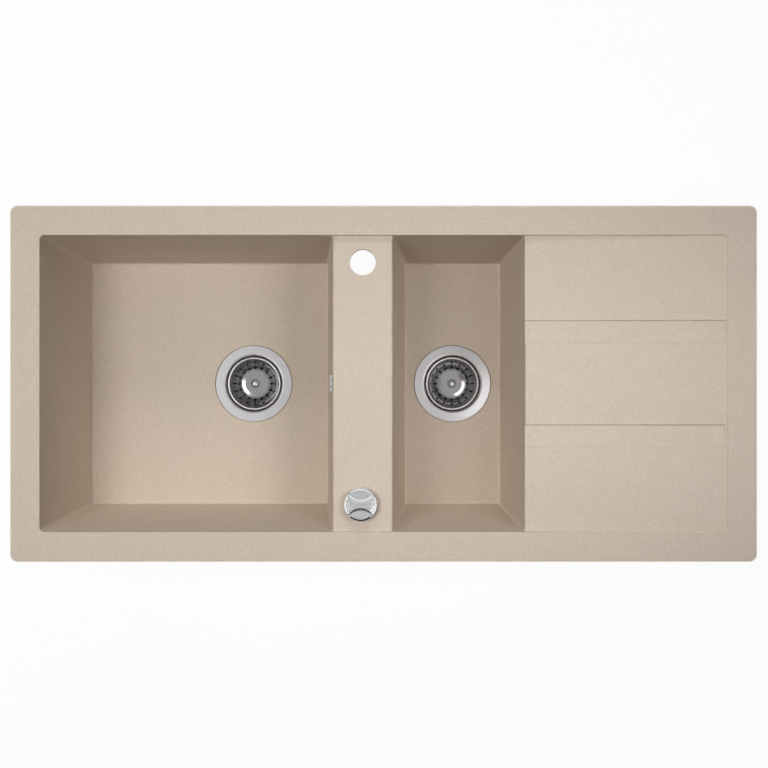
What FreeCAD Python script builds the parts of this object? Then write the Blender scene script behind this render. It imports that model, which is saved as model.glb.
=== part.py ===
import FreeCAD
import Part

# Inset kitchen sink with one and a half bowls and a drainer, cast in granite composite.
# Each bowl has a basket strainer waste, the large bowl has an overflow, and a rotary knob on the
# deck between the bowls raises the large bowl's basket.
# Frame: +X along the sink towards the drainer, +Y towards the wall behind it, +Z up.
# The origin is the centre of the rim's underside, which is the plane of the worktop.

import math
import os
from types import SimpleNamespace

import Sketcher

# Driving sizes in millimetres, degrees and counts: name, value, meaning
SIZES = [
    ("sink_length", 1000.0, "rim, left to right"),
    ("sink_width", 477.0, "rim, front to back"),
    ("sink_corner_radius", 10.0, "rim corners seen from above"),
    ("rim_thickness", 9.0, "rim above the worktop"),
    ("rim_width", 40.0, "flat rim around the bowls and drainer"),
    ("rim_outer_round", 3.0, "rounding of the rim's outer top edge"),
    ("rim_inner_round", 1.0, "rounding of the rim's inner top edge"),
    ("seat_width", 15.0, "flat underside that rests on the worktop"),
    ("skirt_depth", 6.0, "deck and drainer underside below the worktop plane"),
    ("recess_depth", 6.0, "deck below the rim"),
    ("recess_corner_radius", 6.0, "inner corners of the rim"),
    ("bowl_depth", 200.0, "bowl floor below the rim"),
    ("wall_thickness", 9.0, "bowl walls"),
    ("floor_thickness", 10.0, "bowl floors"),
    ("bowl_draft", 15.0, "lean of the front and back bowl walls, top to floor"),
    ("bowl_floor_radius", 5.0, "bowl corners at the floor"),
    ("bowl_edge_radius", 2.5, "bowl corners at the deck"),
    ("bowl_floor_round", 4.0, "fillet between bowl walls and floor"),
    ("bowl_under_round", 8.0, "rounding of the bowls' lower outside edges"),
    ("deck_edge_round", 2.0, "width of the rounding where the deck and drainer meet a bowl"),
    ("deck_edge_curve", 2.1, "radius of that rounding"),
    ("main_bowl_length", 392.0, "large bowl, left to right at the deck"),
    ("main_draft", 16.0, "lean of the large bowl's side walls"),
    ("deck_width", 80.0, "deck between the bowls"),
    ("small_bowl_length", 178.0, "small bowl, left to right at the deck"),
    ("small_left_draft", 20.0, "lean of the small bowl's left wall"),
    ("small_right_draft", 12.0, "lean of the small bowl's right wall"),
    ("drainer_low_step", 5.5, "drainer below the rim, beside the small bowl"),
    ("drainer_high_step", 1.2, "drainer below the rim, at its far end"),
    ("channel_depth", 1.5, "drainer channels"),
    ("channel_width", 30.5, "drainer channels, front to back"),
    ("channel_spacing", 140.0, "between the two channels' middles"),
    ("channel_lead", 29.0, "slopes beside the channels, from the drainer down to the small bowl"),
    ("channel_end_gap", 2.0, "channels stop short of the rim"),
    ("channel_slope", 45.0, "lean of the channels' sides in degrees"),
    ("tap_hole_diameter", 35.0, "tap hole in the deck"),
    ("tap_hole_margin", 35.5, "tap hole's middle to the rim behind it"),
    ("knob_hole_diameter", 35.0, "knob hole in the deck"),
    ("knob_hole_margin", 37.0, "knob hole's middle to the rim in front of it"),
    ("knob_hole_shift", 2.5, "knob hole left of the deck's middle"),
    ("main_drain_shift", 66.0, "large bowl's drain right of the bowl's middle"),
    ("drain_hole_diameter", 90.0, "hole in each bowl floor"),
    ("drain_seat_depth", 2.5, "recess around the hole for the strainer flange"),
    ("drain_seat_gap", 1.0, "recess wider than the flange, all round"),
    ("flange_diameter", 116.0, "strainer flange"),
    ("flange_sheet", 1.2, "steel sheet of the flange and its dish"),
    ("flange_edge_round", 0.5, "rounding of the flange's outer edge"),
    ("flange_seal_thickness", 1.5, "rubber ring under the flange"),
    ("dish_gap", 1.3, "dish wall inside the drain hole, all round"),
    ("dish_bend", 3.5, "bend radius at the mouth"),
    ("dish_collar", 9.0, "upright part of the dish wall, from the flange's top"),
    ("dish_depth", 32.0, "dish floor below the flange's top"),
    ("dish_floor_diameter", 60.0, "flat floor of the dish"),
    ("dish_foot_step", 0.7, "dish's underside wider than its floor, all round"),
    ("dish_collar_step", 0.3, "outside bend of the dish wall below the inside bend"),
    ("dish_well_diameter", 25.0, "well in the dish floor for the bolt head"),
    ("dish_well_depth", 4.0, "well below the dish floor"),
    ("dish_hole_diameter", 9.0, "outlet holes in the dish floor"),
    ("dish_hole_circle", 42.0, "pitch circle of the outlet holes"),
    ("dish_hole_count", 8, "outlet holes"),
    ("bolt_wall", 1.75, "hollow bolt that clamps dish and waste body"),
    ("bolt_head_clearance", 1.5, "bolt head inside its well"),
    ("bolt_head_gap", 0.3, "bolt head below the dish floor"),
    ("bolt_length", 22.0, "bolt under its head"),
    ("bolt_key_width", 3.0, "screwdriver slot in the bolt head"),
    ("bolt_key_depth", 1.5, "screwdriver slot in the bolt head"),
    ("basket_clearance", 2.0, "basket's rim inside the dish wall"),
    ("basket_rim_drop", 4.0, "basket rim below the flange's top"),
    ("basket_rim_width", 3.0, "rolled rim"),
    ("basket_rim_skirt", 0.7, "straight part under the rolled rim"),
    ("basket_wall_step", 1.1, "outside of the basket wall beyond its inside, under the rim"),
    ("basket_foot_step", 0.6, "outside of the basket wall beyond its inside, at the floor"),
    ("basket_sheet", 1.0, "steel sheet of the basket"),
    ("basket_depth", 19.0, "basket floor below its rim"),
    ("basket_gutter", 2.0, "flat floor around the raised disc"),
    ("basket_slot_count", 16, "slots in the basket wall"),
    ("basket_slot_width", 2.6, "slots in the basket wall"),
    ("basket_slot_margin", 3.75, "slots stop short of the rolled rim"),
    ("island_diameter", 42.5, "raised disc in the basket floor"),
    ("island_height", 4.0, "raised disc above the basket floor"),
    ("island_round", 1.2, "rounding of the disc's edge"),
    ("island_bevel_width", 4.5, "sloping band inside the disc's edge"),
    ("island_bevel_drop", 0.9, "sloping band inside the disc's edge"),
    ("island_well_diameter", 14.0, "well around the stem's button"),
    ("island_well_depth", 2.5, "well around the stem's button"),
    ("button_diameter", 10.0, "domed button on top of the stem"),
    ("button_height", 4.0, "button above the well"),
    ("button_crown", 2.1, "domed part of the button"),
    ("stem_diameter", 8.0, "basket stem"),
    ("stem_collar_step", 1.0, "collar wider than the well above it, all round"),
    ("stem_tail", 14.0, "stem below the dish floor"),
    ("basket_seal_margin", 3.0, "rubber disc inside the dish floor's edge"),
    ("basket_seal_thickness", 3.0, "rubber disc that closes the dish"),
    ("seal_clearance", 0.2, "closed basket seal above the dish floor"),
    ("fit_clearance", 0.1, "still parts that slip into each other"),
    ("sliding_clearance", 0.25, "moving parts in their guides"),
    ("body_seal_thickness", 3.0, "rubber ring between bowl and waste body"),
    ("body_flange_diameter", 108.0, "waste body's top flange"),
    ("body_flange_thickness", 4.0, "waste body's top flange"),
    ("gusset_count", 6, "gussets under the top flange"),
    ("gusset_width", 2.5, "gussets under the top flange"),
    ("gusset_height", 12.0, "gussets along the cup"),
    ("gusset_margin", 1.5, "gussets stop short of the flange's edge"),
    ("body_clearance", 1.8, "waste body's cup around the dish"),
    ("body_wall", 3.0, "waste body's cup wall"),
    ("body_cup_depth", 48.0, "cup below the bowl's underside"),
    ("body_cone_height", 30.0, "cone between cup and outlet"),
    ("outlet_diameter", 47.8, "outlet thread, G 1 1/2 outside diameter"),
    ("outlet_bore", 42.0, "outlet, inside"),
    ("outlet_length", 25.0, "outlet thread"),
    ("boss_wall", 3.5, "boss around the bolt inside the waste body"),
    ("boss_height", 16.0, "boss for the bolt inside the waste body"),
    ("boss_gap", 3.0, "boss below the dish's well"),
    ("boss_rib_count", 4, "ribs that carry the boss"),
    ("boss_rib_width", 3.0, "ribs that carry the boss"),
    ("boss_rib_height", 10.0, "ribs that carry the boss"),
    ("lift_travel", 8.0, "how far the knob raises the large basket"),
    ("pin_gap", 0.3, "lift pin below the stem, and lever below the pin"),
    ("pin_foot_diameter", 12.0, "foot of the lift pin"),
    ("pin_foot_thickness", 2.0, "foot of the lift pin"),
    ("lever_arm", 16.0, "lever shaft to lift pin"),
    ("lever_nose_diameter", 5.4, "round nose of the lever under the pin"),
    ("lever_width", 5.0, "lever along its shaft"),
    ("lever_shaft_diameter", 7.0, "lever shaft"),
    ("gland_gap", 1.0, "gland cap clear of the waste body and of the crank"),
    ("crank_arm", 18.0, "shaft to cable eye outside the waste body"),
    ("crank_thickness", 5.0, "crank plate"),
    ("crank_eye_diameter", 4.0, "hole for the cable nipple"),
    ("crank_hub_diameter", 13.0, "crank around the shaft"),
    ("gland_wall", 3.75, "lever gland tube on the waste body"),
    ("gland_cap_wall", 2.4, "screwed gland cap"),
    ("gland_cap_length", 10.0, "screwed gland cap"),
    ("gland_cap_lip", 3.0, "closed end of the gland cap"),
    ("overflow_drop", 50.0, "overflow's middle below the rim"),
    ("overflow_cover_length", 24.5, "overflow cover, front to back"),
    ("overflow_cover_lap", 2.5, "cover above and below the hole"),
    ("overflow_cover_thickness", 4.0, "overflow cover"),
    ("overflow_cover_round", 2.0, "corners of the cover"),
    ("overflow_cover_sink", 1.5, "cover's seat below the wall's surface"),
    ("overflow_cover_gap", 1.0, "seat wider than the cover, all round"),
    ("overflow_slot_width", 3.0, "slots in the cover"),
    ("overflow_slot_height", 12.0, "slots in the cover"),
    ("overflow_slot_spacing", 10.0, "between the two slots' middles"),
    ("overflow_hole_length", 30.0, "hole through the bowl wall"),
    ("overflow_hole_height", 11.0, "hole through the bowl wall"),
    ("overflow_boss_margin", 3.0, "flat pad around the overflow elbow"),
    ("overflow_boss_depth", 4.0, "pad beyond the bowl's outside"),
    ("overflow_seal_thickness", 2.0, "rubber gasket behind the overflow"),
    ("elbow_width", 42.0, "overflow elbow, front to back"),
    ("elbow_height", 40.0, "overflow elbow"),
    ("elbow_margin", 1.4, "overflow elbow around its pipe socket"),
    ("elbow_wall", 2.5, "overflow elbow"),
    ("elbow_round", 6.0, "corners of the elbow"),
    ("elbow_edge_round", 3.0, "rounding of the elbow's outer edge"),
    ("elbow_socket_length", 22.0, "pipe socket under the elbow"),
    ("elbow_post_diameter", 10.0, "screw post inside the elbow"),
    ("elbow_post_length", 18.0, "screw post inside the elbow"),
    ("screw_diameter", 4.0, "overflow screw"),
    ("screw_head_diameter", 6.0, "overflow screw"),
    ("screw_head_height", 1.6, "overflow screw"),
    ("screw_head_flat", 4.2, "flat on top of the screw head"),
    ("screw_head_rim", 1.0, "upright edge of the screw head"),
    ("screw_head_seat", 1.2, "recess for the screw head in the cover"),
    ("screw_engagement", 10.0, "overflow screw inside the elbow's post"),
    ("pipe_diameter", 22.0, "overflow pipe"),
    ("pipe_wall", 1.5, "overflow pipe"),
    ("pipe_bend", 35.0, "overflow pipe's bend"),
    ("pipe_insertion", 14.0, "pipe inside each socket"),
    ("socket_wall", 3.0, "pipe sockets"),
    ("spigot_drop", 38.0, "overflow inlet below the bowl floor"),
    ("spigot_length", 19.0, "overflow inlet from the waste body's cup"),
    ("nut_wall", 3.5, "union nuts around the sockets"),
    ("nut_length", 15.0, "union nuts"),
    ("nut_lip", 3.0, "closed end of the union nuts"),
    ("nut_rib_count", 12, "grip ribs on the union nuts"),
    ("nut_rib_radius", 1.6, "grip ribs on the union nuts"),
    ("knob_diameter", 44.0, "control knob"),
    ("knob_height", 12.0, "control knob"),
    ("knob_dome", 2.0, "crown of the knob's top"),
    ("knob_edge_round", 2.0, "rounding of the knob's top edge"),
    ("knob_wall", 3.0, "knob around the hollow under it"),
    ("knob_hollow_depth", 4.0, "hollow under the knob"),
    ("knob_hub_diameter", 18.0, "hub around the spindle, under the knob"),
    ("knob_grip_width", 7.0, "waist of the grip between the finger recesses"),
    ("knob_recess_radius", 25.0, "curve of the finger recesses seen from above"),
    ("knob_recess_depth", 3.0, "finger recesses below the knob's crown"),
    ("knob_recess_lean", 52.0, "lean of the finger recesses' walls in degrees"),
    ("knob_gap", 0.3, "turning knob above its ring"),
    ("ring_inset", 1.0, "chrome ring inside the knob's edge"),
    ("ring_height", 3.0, "chrome ring under the knob"),
    ("ring_round", 1.0, "rounding of the ring's edge"),
    ("ring_seal_thickness", 1.0, "rubber ring under the chrome ring"),
    ("sleeve_clearance", 1.0, "threaded sleeve in the deck's hole"),
    ("ring_width", 2.5, "chrome ring around the sleeve's flange"),
    ("sleeve_flange_thickness", 2.5, "sleeve's flange"),
    ("sleeve_length", 50.0, "sleeve below its flange"),
    ("sleeve_wall", 3.5, "threaded sleeve"),
    ("sleeve_bearing", 10.0, "upper bearing of the spindle"),
    ("spindle_diameter", 12.0, "knob spindle"),
    ("spindle_socket", 5.0, "spindle inside the knob"),
    ("control_washer_thickness", 2.0, "rubber washer under the deck"),
    ("control_nut_height", 9.0, "lock nut under the deck"),
    ("control_nut_margin", 6.5, "lock nut's corners beyond the hole"),
    ("drum_diameter", 26.0, "cable drum on the spindle"),
    ("drum_height", 6.0, "cable drum on the spindle"),
    ("drum_gap", 1.0, "cable drum clear of its box"),
    ("box_wall", 2.5, "cable box under the sleeve"),
    ("cable_gland_diameter", 9.0, "cable gland on the box"),
    ("cable_gland_length", 14.0, "cable gland on the box"),
    ("cable_gland_root", 1.0, "cable gland inside the box's wall"),
    ("cable_bore", 4.0, "cable gland, inside"),
]

SHEET = "Sizes"

# A round end takes this share of the half width, so that its two arcs do not touch.
ROUND_END = 0.98


class Size:
    """A size that carries its value and the sheet expression that gives it."""

    def __init__(self, value, text):
        self.value = float(value)
        self.text = text

    def __add__(self, other):
        other = as_size(other)
        return Size(self.value + other.value, f"({self.text} + {other.text})")

    def __sub__(self, other):
        other = as_size(other)
        return Size(self.value - other.value, f"({self.text} - {other.text})")

    def __mul__(self, other):
        other = as_size(other)
        return Size(self.value * other.value, f"({self.text} * {other.text})")

    def __truediv__(self, other):
        other = as_size(other)
        return Size(self.value / other.value, f"({self.text} / {other.text})")

    def __radd__(self, other):
        return as_size(other) + self

    def __rsub__(self, other):
        return as_size(other) - self

    def __rmul__(self, other):
        return as_size(other) * self

    def __neg__(self):
        return Size(-self.value, f"(-1 * {self.text})")


def as_size(number):
    """A plain number as a Size."""
    return number if isinstance(number, Size) else Size(number, f"{number:.9f}")


doc = FreeCAD.newDocument("granite_sink")
sheet = doc.addObject("Spreadsheet::Sheet", SHEET)
for row, (name, value, meaning) in enumerate(SIZES, start=1):
    sheet.set(f"A{row}", name)
    sheet.set(f"B{row}", str(value))
    sheet.setAlias(f"B{row}", name)
    sheet.set(f"C{row}", meaning)
doc.recompute()
s = SimpleNamespace(**{name: Size(value, f"{SHEET}.{name}") for name, value, _ in SIZES})

SUB_PARTS = []


# Sketches

def new_body(label, x=0.0, y=0.0, z=0.0, upwards=None):
    """A body whose own origin stands at x, y, z of the sink's frame.

    Its own +Z points up, or in the direction named by upwards.
    """
    body = doc.addObject("PartDesign::Body", label)
    body.Label = label
    if upwards is not None:
        rotation = FreeCAD.Rotation(FreeCAD.Vector(0, 0, 1), upwards)
        body.Placement = FreeCAD.Placement(FreeCAD.Vector(), rotation)
    for axis, place in (("x", x), ("y", y), ("z", z)):
        body.setExpression(f"Placement.Base.{axis}", as_size(place).text)
    SUB_PARTS.append(body)
    return body


def origin_feature(body, role):
    return next(f for f in body.Origin.OriginFeatures if f.Role == role)


def new_sketch(body, name, plane, offset=0.0):
    """A sketch on one of the body's own planes, moved along that plane's normal.

    XY has its normal along +Z and YZ along +X; XZ has its normal along -Y.
    """
    sketch = body.newObject("Sketcher::SketchObject", name)
    sketch.AttachmentSupport = (origin_feature(body, f"{plane}_Plane"), [""])
    sketch.MapMode = "FlatFace"
    sketch.setExpression("AttachmentOffset.Base.z", as_size(offset).text)
    return sketch


def bind(sketch, constraint, size):
    """Adds a constraint whose value follows a size."""
    index = sketch.addConstraint(constraint)
    sketch.setExpression(f"Constraints[{index}]", size.text)


def pin_point(sketch, geometry, position, x, y):
    """Holds a point of the sketch at x, y."""
    for kind, axis, place in (("DistanceX", -2, x), ("DistanceY", -1, y)):
        if abs(place.value) < 1e-9:
            sketch.addConstraint(Sketcher.Constraint("PointOnObject", geometry, position, axis))
        else:
            bind(sketch, Sketcher.Constraint(kind, -1, 1, geometry, position, place.value), place)


def arc_between(start, end, radius, turns_left):
    """The arc of under a half circle from start to end, bulging to the side it turns from."""
    chord = end - start
    middle = (start + end) * 0.5
    rise = math.sqrt(max(radius**2 - (chord.Length / 2) ** 2, 0.0))
    left = FreeCAD.Vector(-chord.y, chord.x, 0).normalize()
    centre = middle + left * (rise if turns_left else -rise)
    angles = [math.atan2(p.y - centre.y, p.x - centre.x) for p in (start, end)]
    if not turns_left:
        angles.reverse()
    if angles[1] < angles[0]:
        angles[1] += 2 * math.pi
    return Part.ArcOfCircle(Part.Circle(centre, FreeCAD.Vector(0, 0, 1), radius), *angles)


def draw(sketch, steps, closed=True):
    """Draws an outline from its corners.

    A step (x, y) is reached by a line, and (x, y, radius, "left" or "right") by an arc that turns that way.
    The first step is the start. A closed outline goes back to it by a line.
    """
    steps = [(as_size(step[0]), as_size(step[1]), *step[2:]) for step in steps]
    points = [FreeCAD.Vector(x.value, y.value, 0) for x, y, *_ in steps]
    legs = list(zip(steps[1:], points, points[1:]))
    if closed and (points[-1] - points[0]).Length > 1e-7:
        legs.append((steps[0][:2], points[-1], points[0]))
    segments = []
    for step, start, end in legs:
        if len(step) == 2:
            index = sketch.addGeometry(Part.LineSegment(start, end), False)
            segments.append((index, 1, 2))
            continue
        radius, turn = as_size(step[2]), step[3]
        index = sketch.addGeometry(arc_between(start, end, radius.value, turn == "left"), False)
        bind(sketch, Sketcher.Constraint("Radius", index, radius.value), radius)
        segments.append((index, 1, 2) if turn == "left" else (index, 2, 1))
    joints = list(zip(segments, segments[1:]))
    if closed:
        joints.append((segments[-1], segments[0]))
    for (first, _, first_end), (second, second_start, _) in joints:
        sketch.addConstraint(Sketcher.Constraint("Coincident", first, first_end, second, second_start))
    for (index, start, _), step in zip(segments, steps):
        pin_point(sketch, index, start, step[0], step[1])
    if not closed:
        index, _, end = segments[-1]
        pin_point(sketch, index, end, steps[-1][0], steps[-1][1])
    return sketch


def draw_circle(sketch, x, y, diameter):
    x, y, radius = as_size(x), as_size(y), as_size(diameter) / 2
    centre = FreeCAD.Vector(x.value, y.value, 0)
    circle = Part.Circle(centre, FreeCAD.Vector(0, 0, 1), radius.value)
    index = sketch.addGeometry(circle, False)
    bind(sketch, Sketcher.Constraint("Radius", index, radius.value), radius)
    pin_point(sketch, index, 3, x, y)
    return sketch


def rounded_box(x0, x1, y0, y1, left_radius, right_radius=None):
    """Outline of an upright rectangle with round corners, the left and right pairs set apart."""
    a = left_radius
    b = left_radius if right_radius is None else right_radius
    return [
        (x0 + a, y0),
        (x1 - b, y0),
        (x1, y0 + b, b, "left"),
        (x1, y1 - b),
        (x1 - b, y1, b, "left"),
        (x0 + a, y1),
        (x0, y1 - a, a, "left"),
        (x0, y0 + a),
        (x0 + a, y0, a, "left"),
    ]


def slot_outline(x, y, length, width):
    """Outline of a slot that lies along the sketch's X, with quarter round corners at its ends."""
    return rounded_box(x - length / 2, x + length / 2, y - width / 2, y + width / 2, width / 2 * ROUND_END)


# Features

def pad(body, name, sketch, length, downwards=False, both_ways=False):
    feature = body.newObject("PartDesign::Pad", name)
    feature.Profile = sketch
    feature.setExpression("Length", as_size(length).text)
    feature.Reversed = downwards
    feature.Midplane = both_ways
    return feature


def pocket(body, name, sketch, length, against_normal=False, both_ways=False, lean=None):
    """Cuts along the sketch's normal, or against it. A lean narrows the cut towards its floor."""
    feature = body.newObject("PartDesign::Pocket", name)
    feature.Profile = sketch
    feature.setExpression("Length", as_size(length).text)
    feature.Reversed = not against_normal
    feature.Midplane = both_ways
    if lean is not None:
        feature.setExpression("TaperAngle", (-lean).text)
    return feature


def turned(label, place, outline, upwards=None):
    """A body turned about its own Z axis from an outline of radius and height."""
    body = new_body(label, *place, upwards=upwards)
    sketch = draw(new_sketch(body, f"{label}_profile", "XZ"), outline)
    feature = body.newObject("PartDesign::Revolution", f"{label}_turning")
    feature.Profile = sketch
    feature.ReferenceAxis = (sketch, ["V_Axis"])
    feature.Angle = 360.0
    return body


def loft(body, name, kind, outlines):
    """A straight-sided loft between two outlines, each given with its height."""
    sketches = []
    for index, (height, outline) in enumerate(outlines):
        sketch = new_sketch(body, f"{name}_{index}", "XY", height)
        sketches.append(draw(sketch, outline))
    feature = body.newObject(f"PartDesign::{kind}Loft", name)
    feature.Profile = sketches[0]
    feature.Sections = sketches[1:]
    feature.Ruled = True
    return feature


def around(body, name, feature, count, axis="Z"):
    """Repeats a feature evenly round one of the body's axes."""
    pattern = body.newObject("PartDesign::PolarPattern", name)
    pattern.Originals = [feature]
    pattern.Axis = (origin_feature(body, f"{axis}_Axis"), [""])
    pattern.Angle = 360.0
    pattern.setExpression("Occurrences", as_size(count).text)
    body.Tip = pattern
    return pattern


def round_edges(body, name, radius, chosen):
    """Rounds the edges of the body so far for which chosen(edge) holds."""
    doc.recompute()
    base = body.Tip
    names = [f"Edge{i}" for i, edge in enumerate(base.Shape.Edges, start=1) if chosen(edge)]
    feature = body.newObject("PartDesign::Fillet", name)
    feature.Base = (base, names)
    feature.setExpression("Radius", as_size(radius).text)
    return feature


def level_edge(height, x0=-1e9, x1=1e9, margin=1e9):
    """Chooses edges that lie at one height between x0 and x1, no further than margin from y = 0."""

    def chosen(edge):
        box = edge.BoundBox
        level = abs(box.ZMin - height.value) < 1e-4 and abs(box.ZMax - height.value) < 1e-4
        inside = box.XMin > x0 - 1e-4 and box.XMax < x1 + 1e-4
        return level and inside and max(abs(box.YMin), abs(box.YMax)) < margin + 1e-4

    return chosen


# Levels and edges that several pieces share

rim_top = s.rim_thickness
deck_top = rim_top - s.recess_depth
deck_under = -s.skirt_depth
floor_top = rim_top - s.bowl_depth
floor_under = floor_top - s.floor_thickness
left_edge = s.rim_width - s.sink_length / 2
right_edge = -left_edge
back_edge = s.sink_width / 2 - s.rim_width
main_right = left_edge + s.main_bowl_length
small_left = main_right + s.deck_width
small_right = small_left + s.small_bowl_length
deck_middle = main_right + s.deck_width / 2
drainer_low = rim_top - s.drainer_low_step
drainer_high = rim_top - s.drainer_high_step
drainer_slope = (drainer_high - drainer_low) / (right_edge - small_right)
floor_back = back_edge - s.bowl_draft
main_drain_x = left_edge + s.main_bowl_length / 2 + s.main_drain_shift
small_drain_x = small_left + (s.small_bowl_length + s.small_left_draft - s.small_right_draft) / 2
knob_x = deck_middle - s.knob_hole_shift
knob_y = s.knob_hole_margin - back_edge
tap_y = back_edge - s.tap_hole_margin

overflow_z = rim_top - s.overflow_drop
overflow_cover_height = s.overflow_hole_height + s.overflow_cover_lap * 2
wall_lean = s.main_draft / (deck_top - floor_top)
overflow_wall_x = main_right - (deck_top - overflow_z) * wall_lean
overflow_seat_x = overflow_wall_x + s.overflow_cover_sink
overflow_pad_x = overflow_wall_x + s.wall_thickness + s.overflow_boss_depth
elbow_x = overflow_pad_x + s.overflow_seal_thickness
socket_bore = s.pipe_diameter + s.fit_clearance * 2
socket_outside = socket_bore + s.socket_wall * 2
pipe_bore = s.pipe_diameter - s.pipe_wall * 2
elbow_depth = socket_outside + s.elbow_margin * 2
post_front = elbow_depth - s.elbow_wall - s.elbow_post_length
pipe_x = elbow_x + elbow_depth / 2
pipe_low_z = floor_top - s.spigot_drop


# The casting

def main_outline(height_share, grow):
    """The large bowl's outline at the deck (share 0) or at the floor (share 1), grown outwards."""
    if height_share == 0:
        return rounded_box(
            left_edge - grow, main_right + grow, -back_edge - grow, back_edge + grow,
            s.recess_corner_radius + grow, s.bowl_edge_radius + grow,
        )
    return rounded_box(
        left_edge + s.main_draft - grow, main_right - s.main_draft + grow,
        -floor_back - grow, floor_back + grow, s.bowl_floor_radius + grow,
    )


def small_outline(height_share, grow):
    """The small bowl's outline at the deck (share 0) or at the floor (share 1), grown outwards."""
    if height_share == 0:
        return rounded_box(
            small_left - grow, small_right + grow, -back_edge - grow, back_edge + grow,
            s.bowl_edge_radius + grow,
        )
    return rounded_box(
        small_left + s.small_left_draft - grow, small_right - s.small_right_draft + grow,
        -floor_back - grow, floor_back + grow, s.bowl_floor_radius + grow,
    )


def edge_rounding(body, name, edge_x, edge_z, side):
    """Rounds the edge where a level surface meets a bowl. The bowl lies on the given side, -1 or +1."""
    round_ = s.deck_edge_round
    clear = round_ / 2
    turn = "left" if side < 0 else "right"
    sketch = draw(
        new_sketch(body, f"{name}_profile", "XZ"),
        [
            (edge_x - side * round_, edge_z),
            (edge_x, edge_z - round_, s.deck_edge_curve, turn),
            (edge_x + side * round_, edge_z - round_),
            (edge_x + side * round_, edge_z + clear),
            (edge_x - side * round_, edge_z + clear),
        ],
    )
    return pocket(body, name, sketch, back_edge * 2, both_ways=True)


def drain_seat(body, name, x):
    """The recess and the hole that take a strainer."""
    seat = draw_circle(
        new_sketch(body, f"{name}_seat_outline", "XY", floor_top - s.drain_seat_depth),
        x, 0.0, s.flange_diameter + s.drain_seat_gap * 2,
    )
    pocket(body, f"{name}_seat", seat, s.drain_seat_depth * 2)
    hole = draw_circle(
        new_sketch(body, f"{name}_hole_outline", "XY", floor_under - s.floor_thickness),
        x, 0.0, s.drain_hole_diameter,
    )
    pocket(body, f"{name}_hole", hole, s.floor_thickness * 3)


def make_sink_body():
    body = new_body("sink_body")
    half_length, half_width = s.sink_length / 2, s.sink_width / 2

    # rim, skirt that drops into the worktop's cut-out, and the outsides of the bowls
    outline = rounded_box(-half_length, half_length, -half_width, half_width, s.sink_corner_radius)
    pad(body, "rim", draw(new_sketch(body, "rim_outline", "XY"), outline), rim_top)
    round_edges(body, "rim_outer_edge", s.rim_outer_round, level_edge(rim_top))
    inset = s.seat_width
    outline = rounded_box(
        inset - half_length, half_length - inset, inset - half_width, half_width - inset,
        s.sink_corner_radius,
    )
    skirt = draw(new_sketch(body, "skirt_outline", "XY", deck_under), outline)
    pad(body, "skirt", skirt, s.skirt_depth + rim_top / 3)
    wall = s.wall_thickness
    for name, outline in (("main_bowl_outside", main_outline), ("small_bowl_outside", small_outline)):
        loft(body, name, "Additive", [(deck_under / 2, outline(0, wall)), (floor_under, outline(1, wall))])
    round_edges(body, "bowls_lower_edges", s.bowl_under_round, level_edge(floor_under))

    # flat pad behind the overflow
    boss_half_width = s.elbow_width / 2 + s.overflow_boss_margin
    boss_half_height = s.elbow_height / 2 + s.overflow_boss_margin
    outline = rounded_box(
        -boss_half_width, boss_half_width,
        overflow_z - boss_half_height, overflow_z + boss_half_height,
        s.elbow_round + s.overflow_boss_margin,
    )
    boss = draw(new_sketch(body, "overflow_boss_outline", "YZ", overflow_wall_x + wall / 2), outline)
    pad(body, "overflow_boss", boss, wall / 2 + s.overflow_boss_depth)

    # recess of the deck and the sloping drainer, seen from the front
    above = rim_top + s.recess_depth
    profile = draw(
        new_sketch(body, "recess_profile", "XZ"),
        [
            (left_edge, above),
            (left_edge, deck_top),
            (small_right, deck_top),
            (small_right, drainer_low),
            (right_edge, drainer_high),
            (right_edge, above),
        ],
    )
    pocket(body, "recess", profile, back_edge * 2, both_ways=True)
    corner_x, corner_y = right_edge.value, back_edge.value

    def recess_corner(edge):
        box = edge.BoundBox
        upright = box.XLength < 1e-4 and box.YLength < 1e-4
        return upright and abs(abs(box.XMin) - corner_x) < 1e-3 and abs(abs(box.YMin) - corner_y) < 1e-3

    round_edges(body, "recess_corners", s.recess_corner_radius, recess_corner)
    inner_edge = level_edge(rim_top, left_edge.value, right_edge.value, corner_y)
    round_edges(body, "rim_inner_edge", s.rim_inner_round, inner_edge)

    # bowls
    for name, outline in (("main_bowl", main_outline), ("small_bowl", small_outline)):
        loft(body, name, "Subtractive", [(deck_top, outline(0, 0.0)), (floor_top, outline(1, 0.0))])
    round_edges(body, "bowl_floor_edges", s.bowl_floor_round, level_edge(floor_top))
    edge_rounding(body, "main_bowl_edge", main_right, deck_top, -1)
    edge_rounding(body, "small_bowl_left_edge", small_left, deck_top, 1)
    edge_rounding(body, "small_bowl_right_edge", small_right, drainer_low, -1)

    # drainer channels, and the slopes beside them
    drainer_channels(body)
    drainer_slopes(body)

    # drains, tap hole, knob hole and overflow
    drain_seat(body, "main_drain", main_drain_x)
    drain_seat(body, "small_drain", small_drain_x)
    for name, x, y, diameter in (
        ("tap_hole", deck_middle, tap_y, s.tap_hole_diameter),
        ("knob_hole", knob_x, knob_y, s.knob_hole_diameter),
    ):
        sketch = draw_circle(new_sketch(body, f"{name}_outline", "XY", deck_under * 2), x, y, diameter)
        pocket(body, name, sketch, s.skirt_depth * 2 + rim_top)
    overflow_openings(body)
    return body


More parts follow.
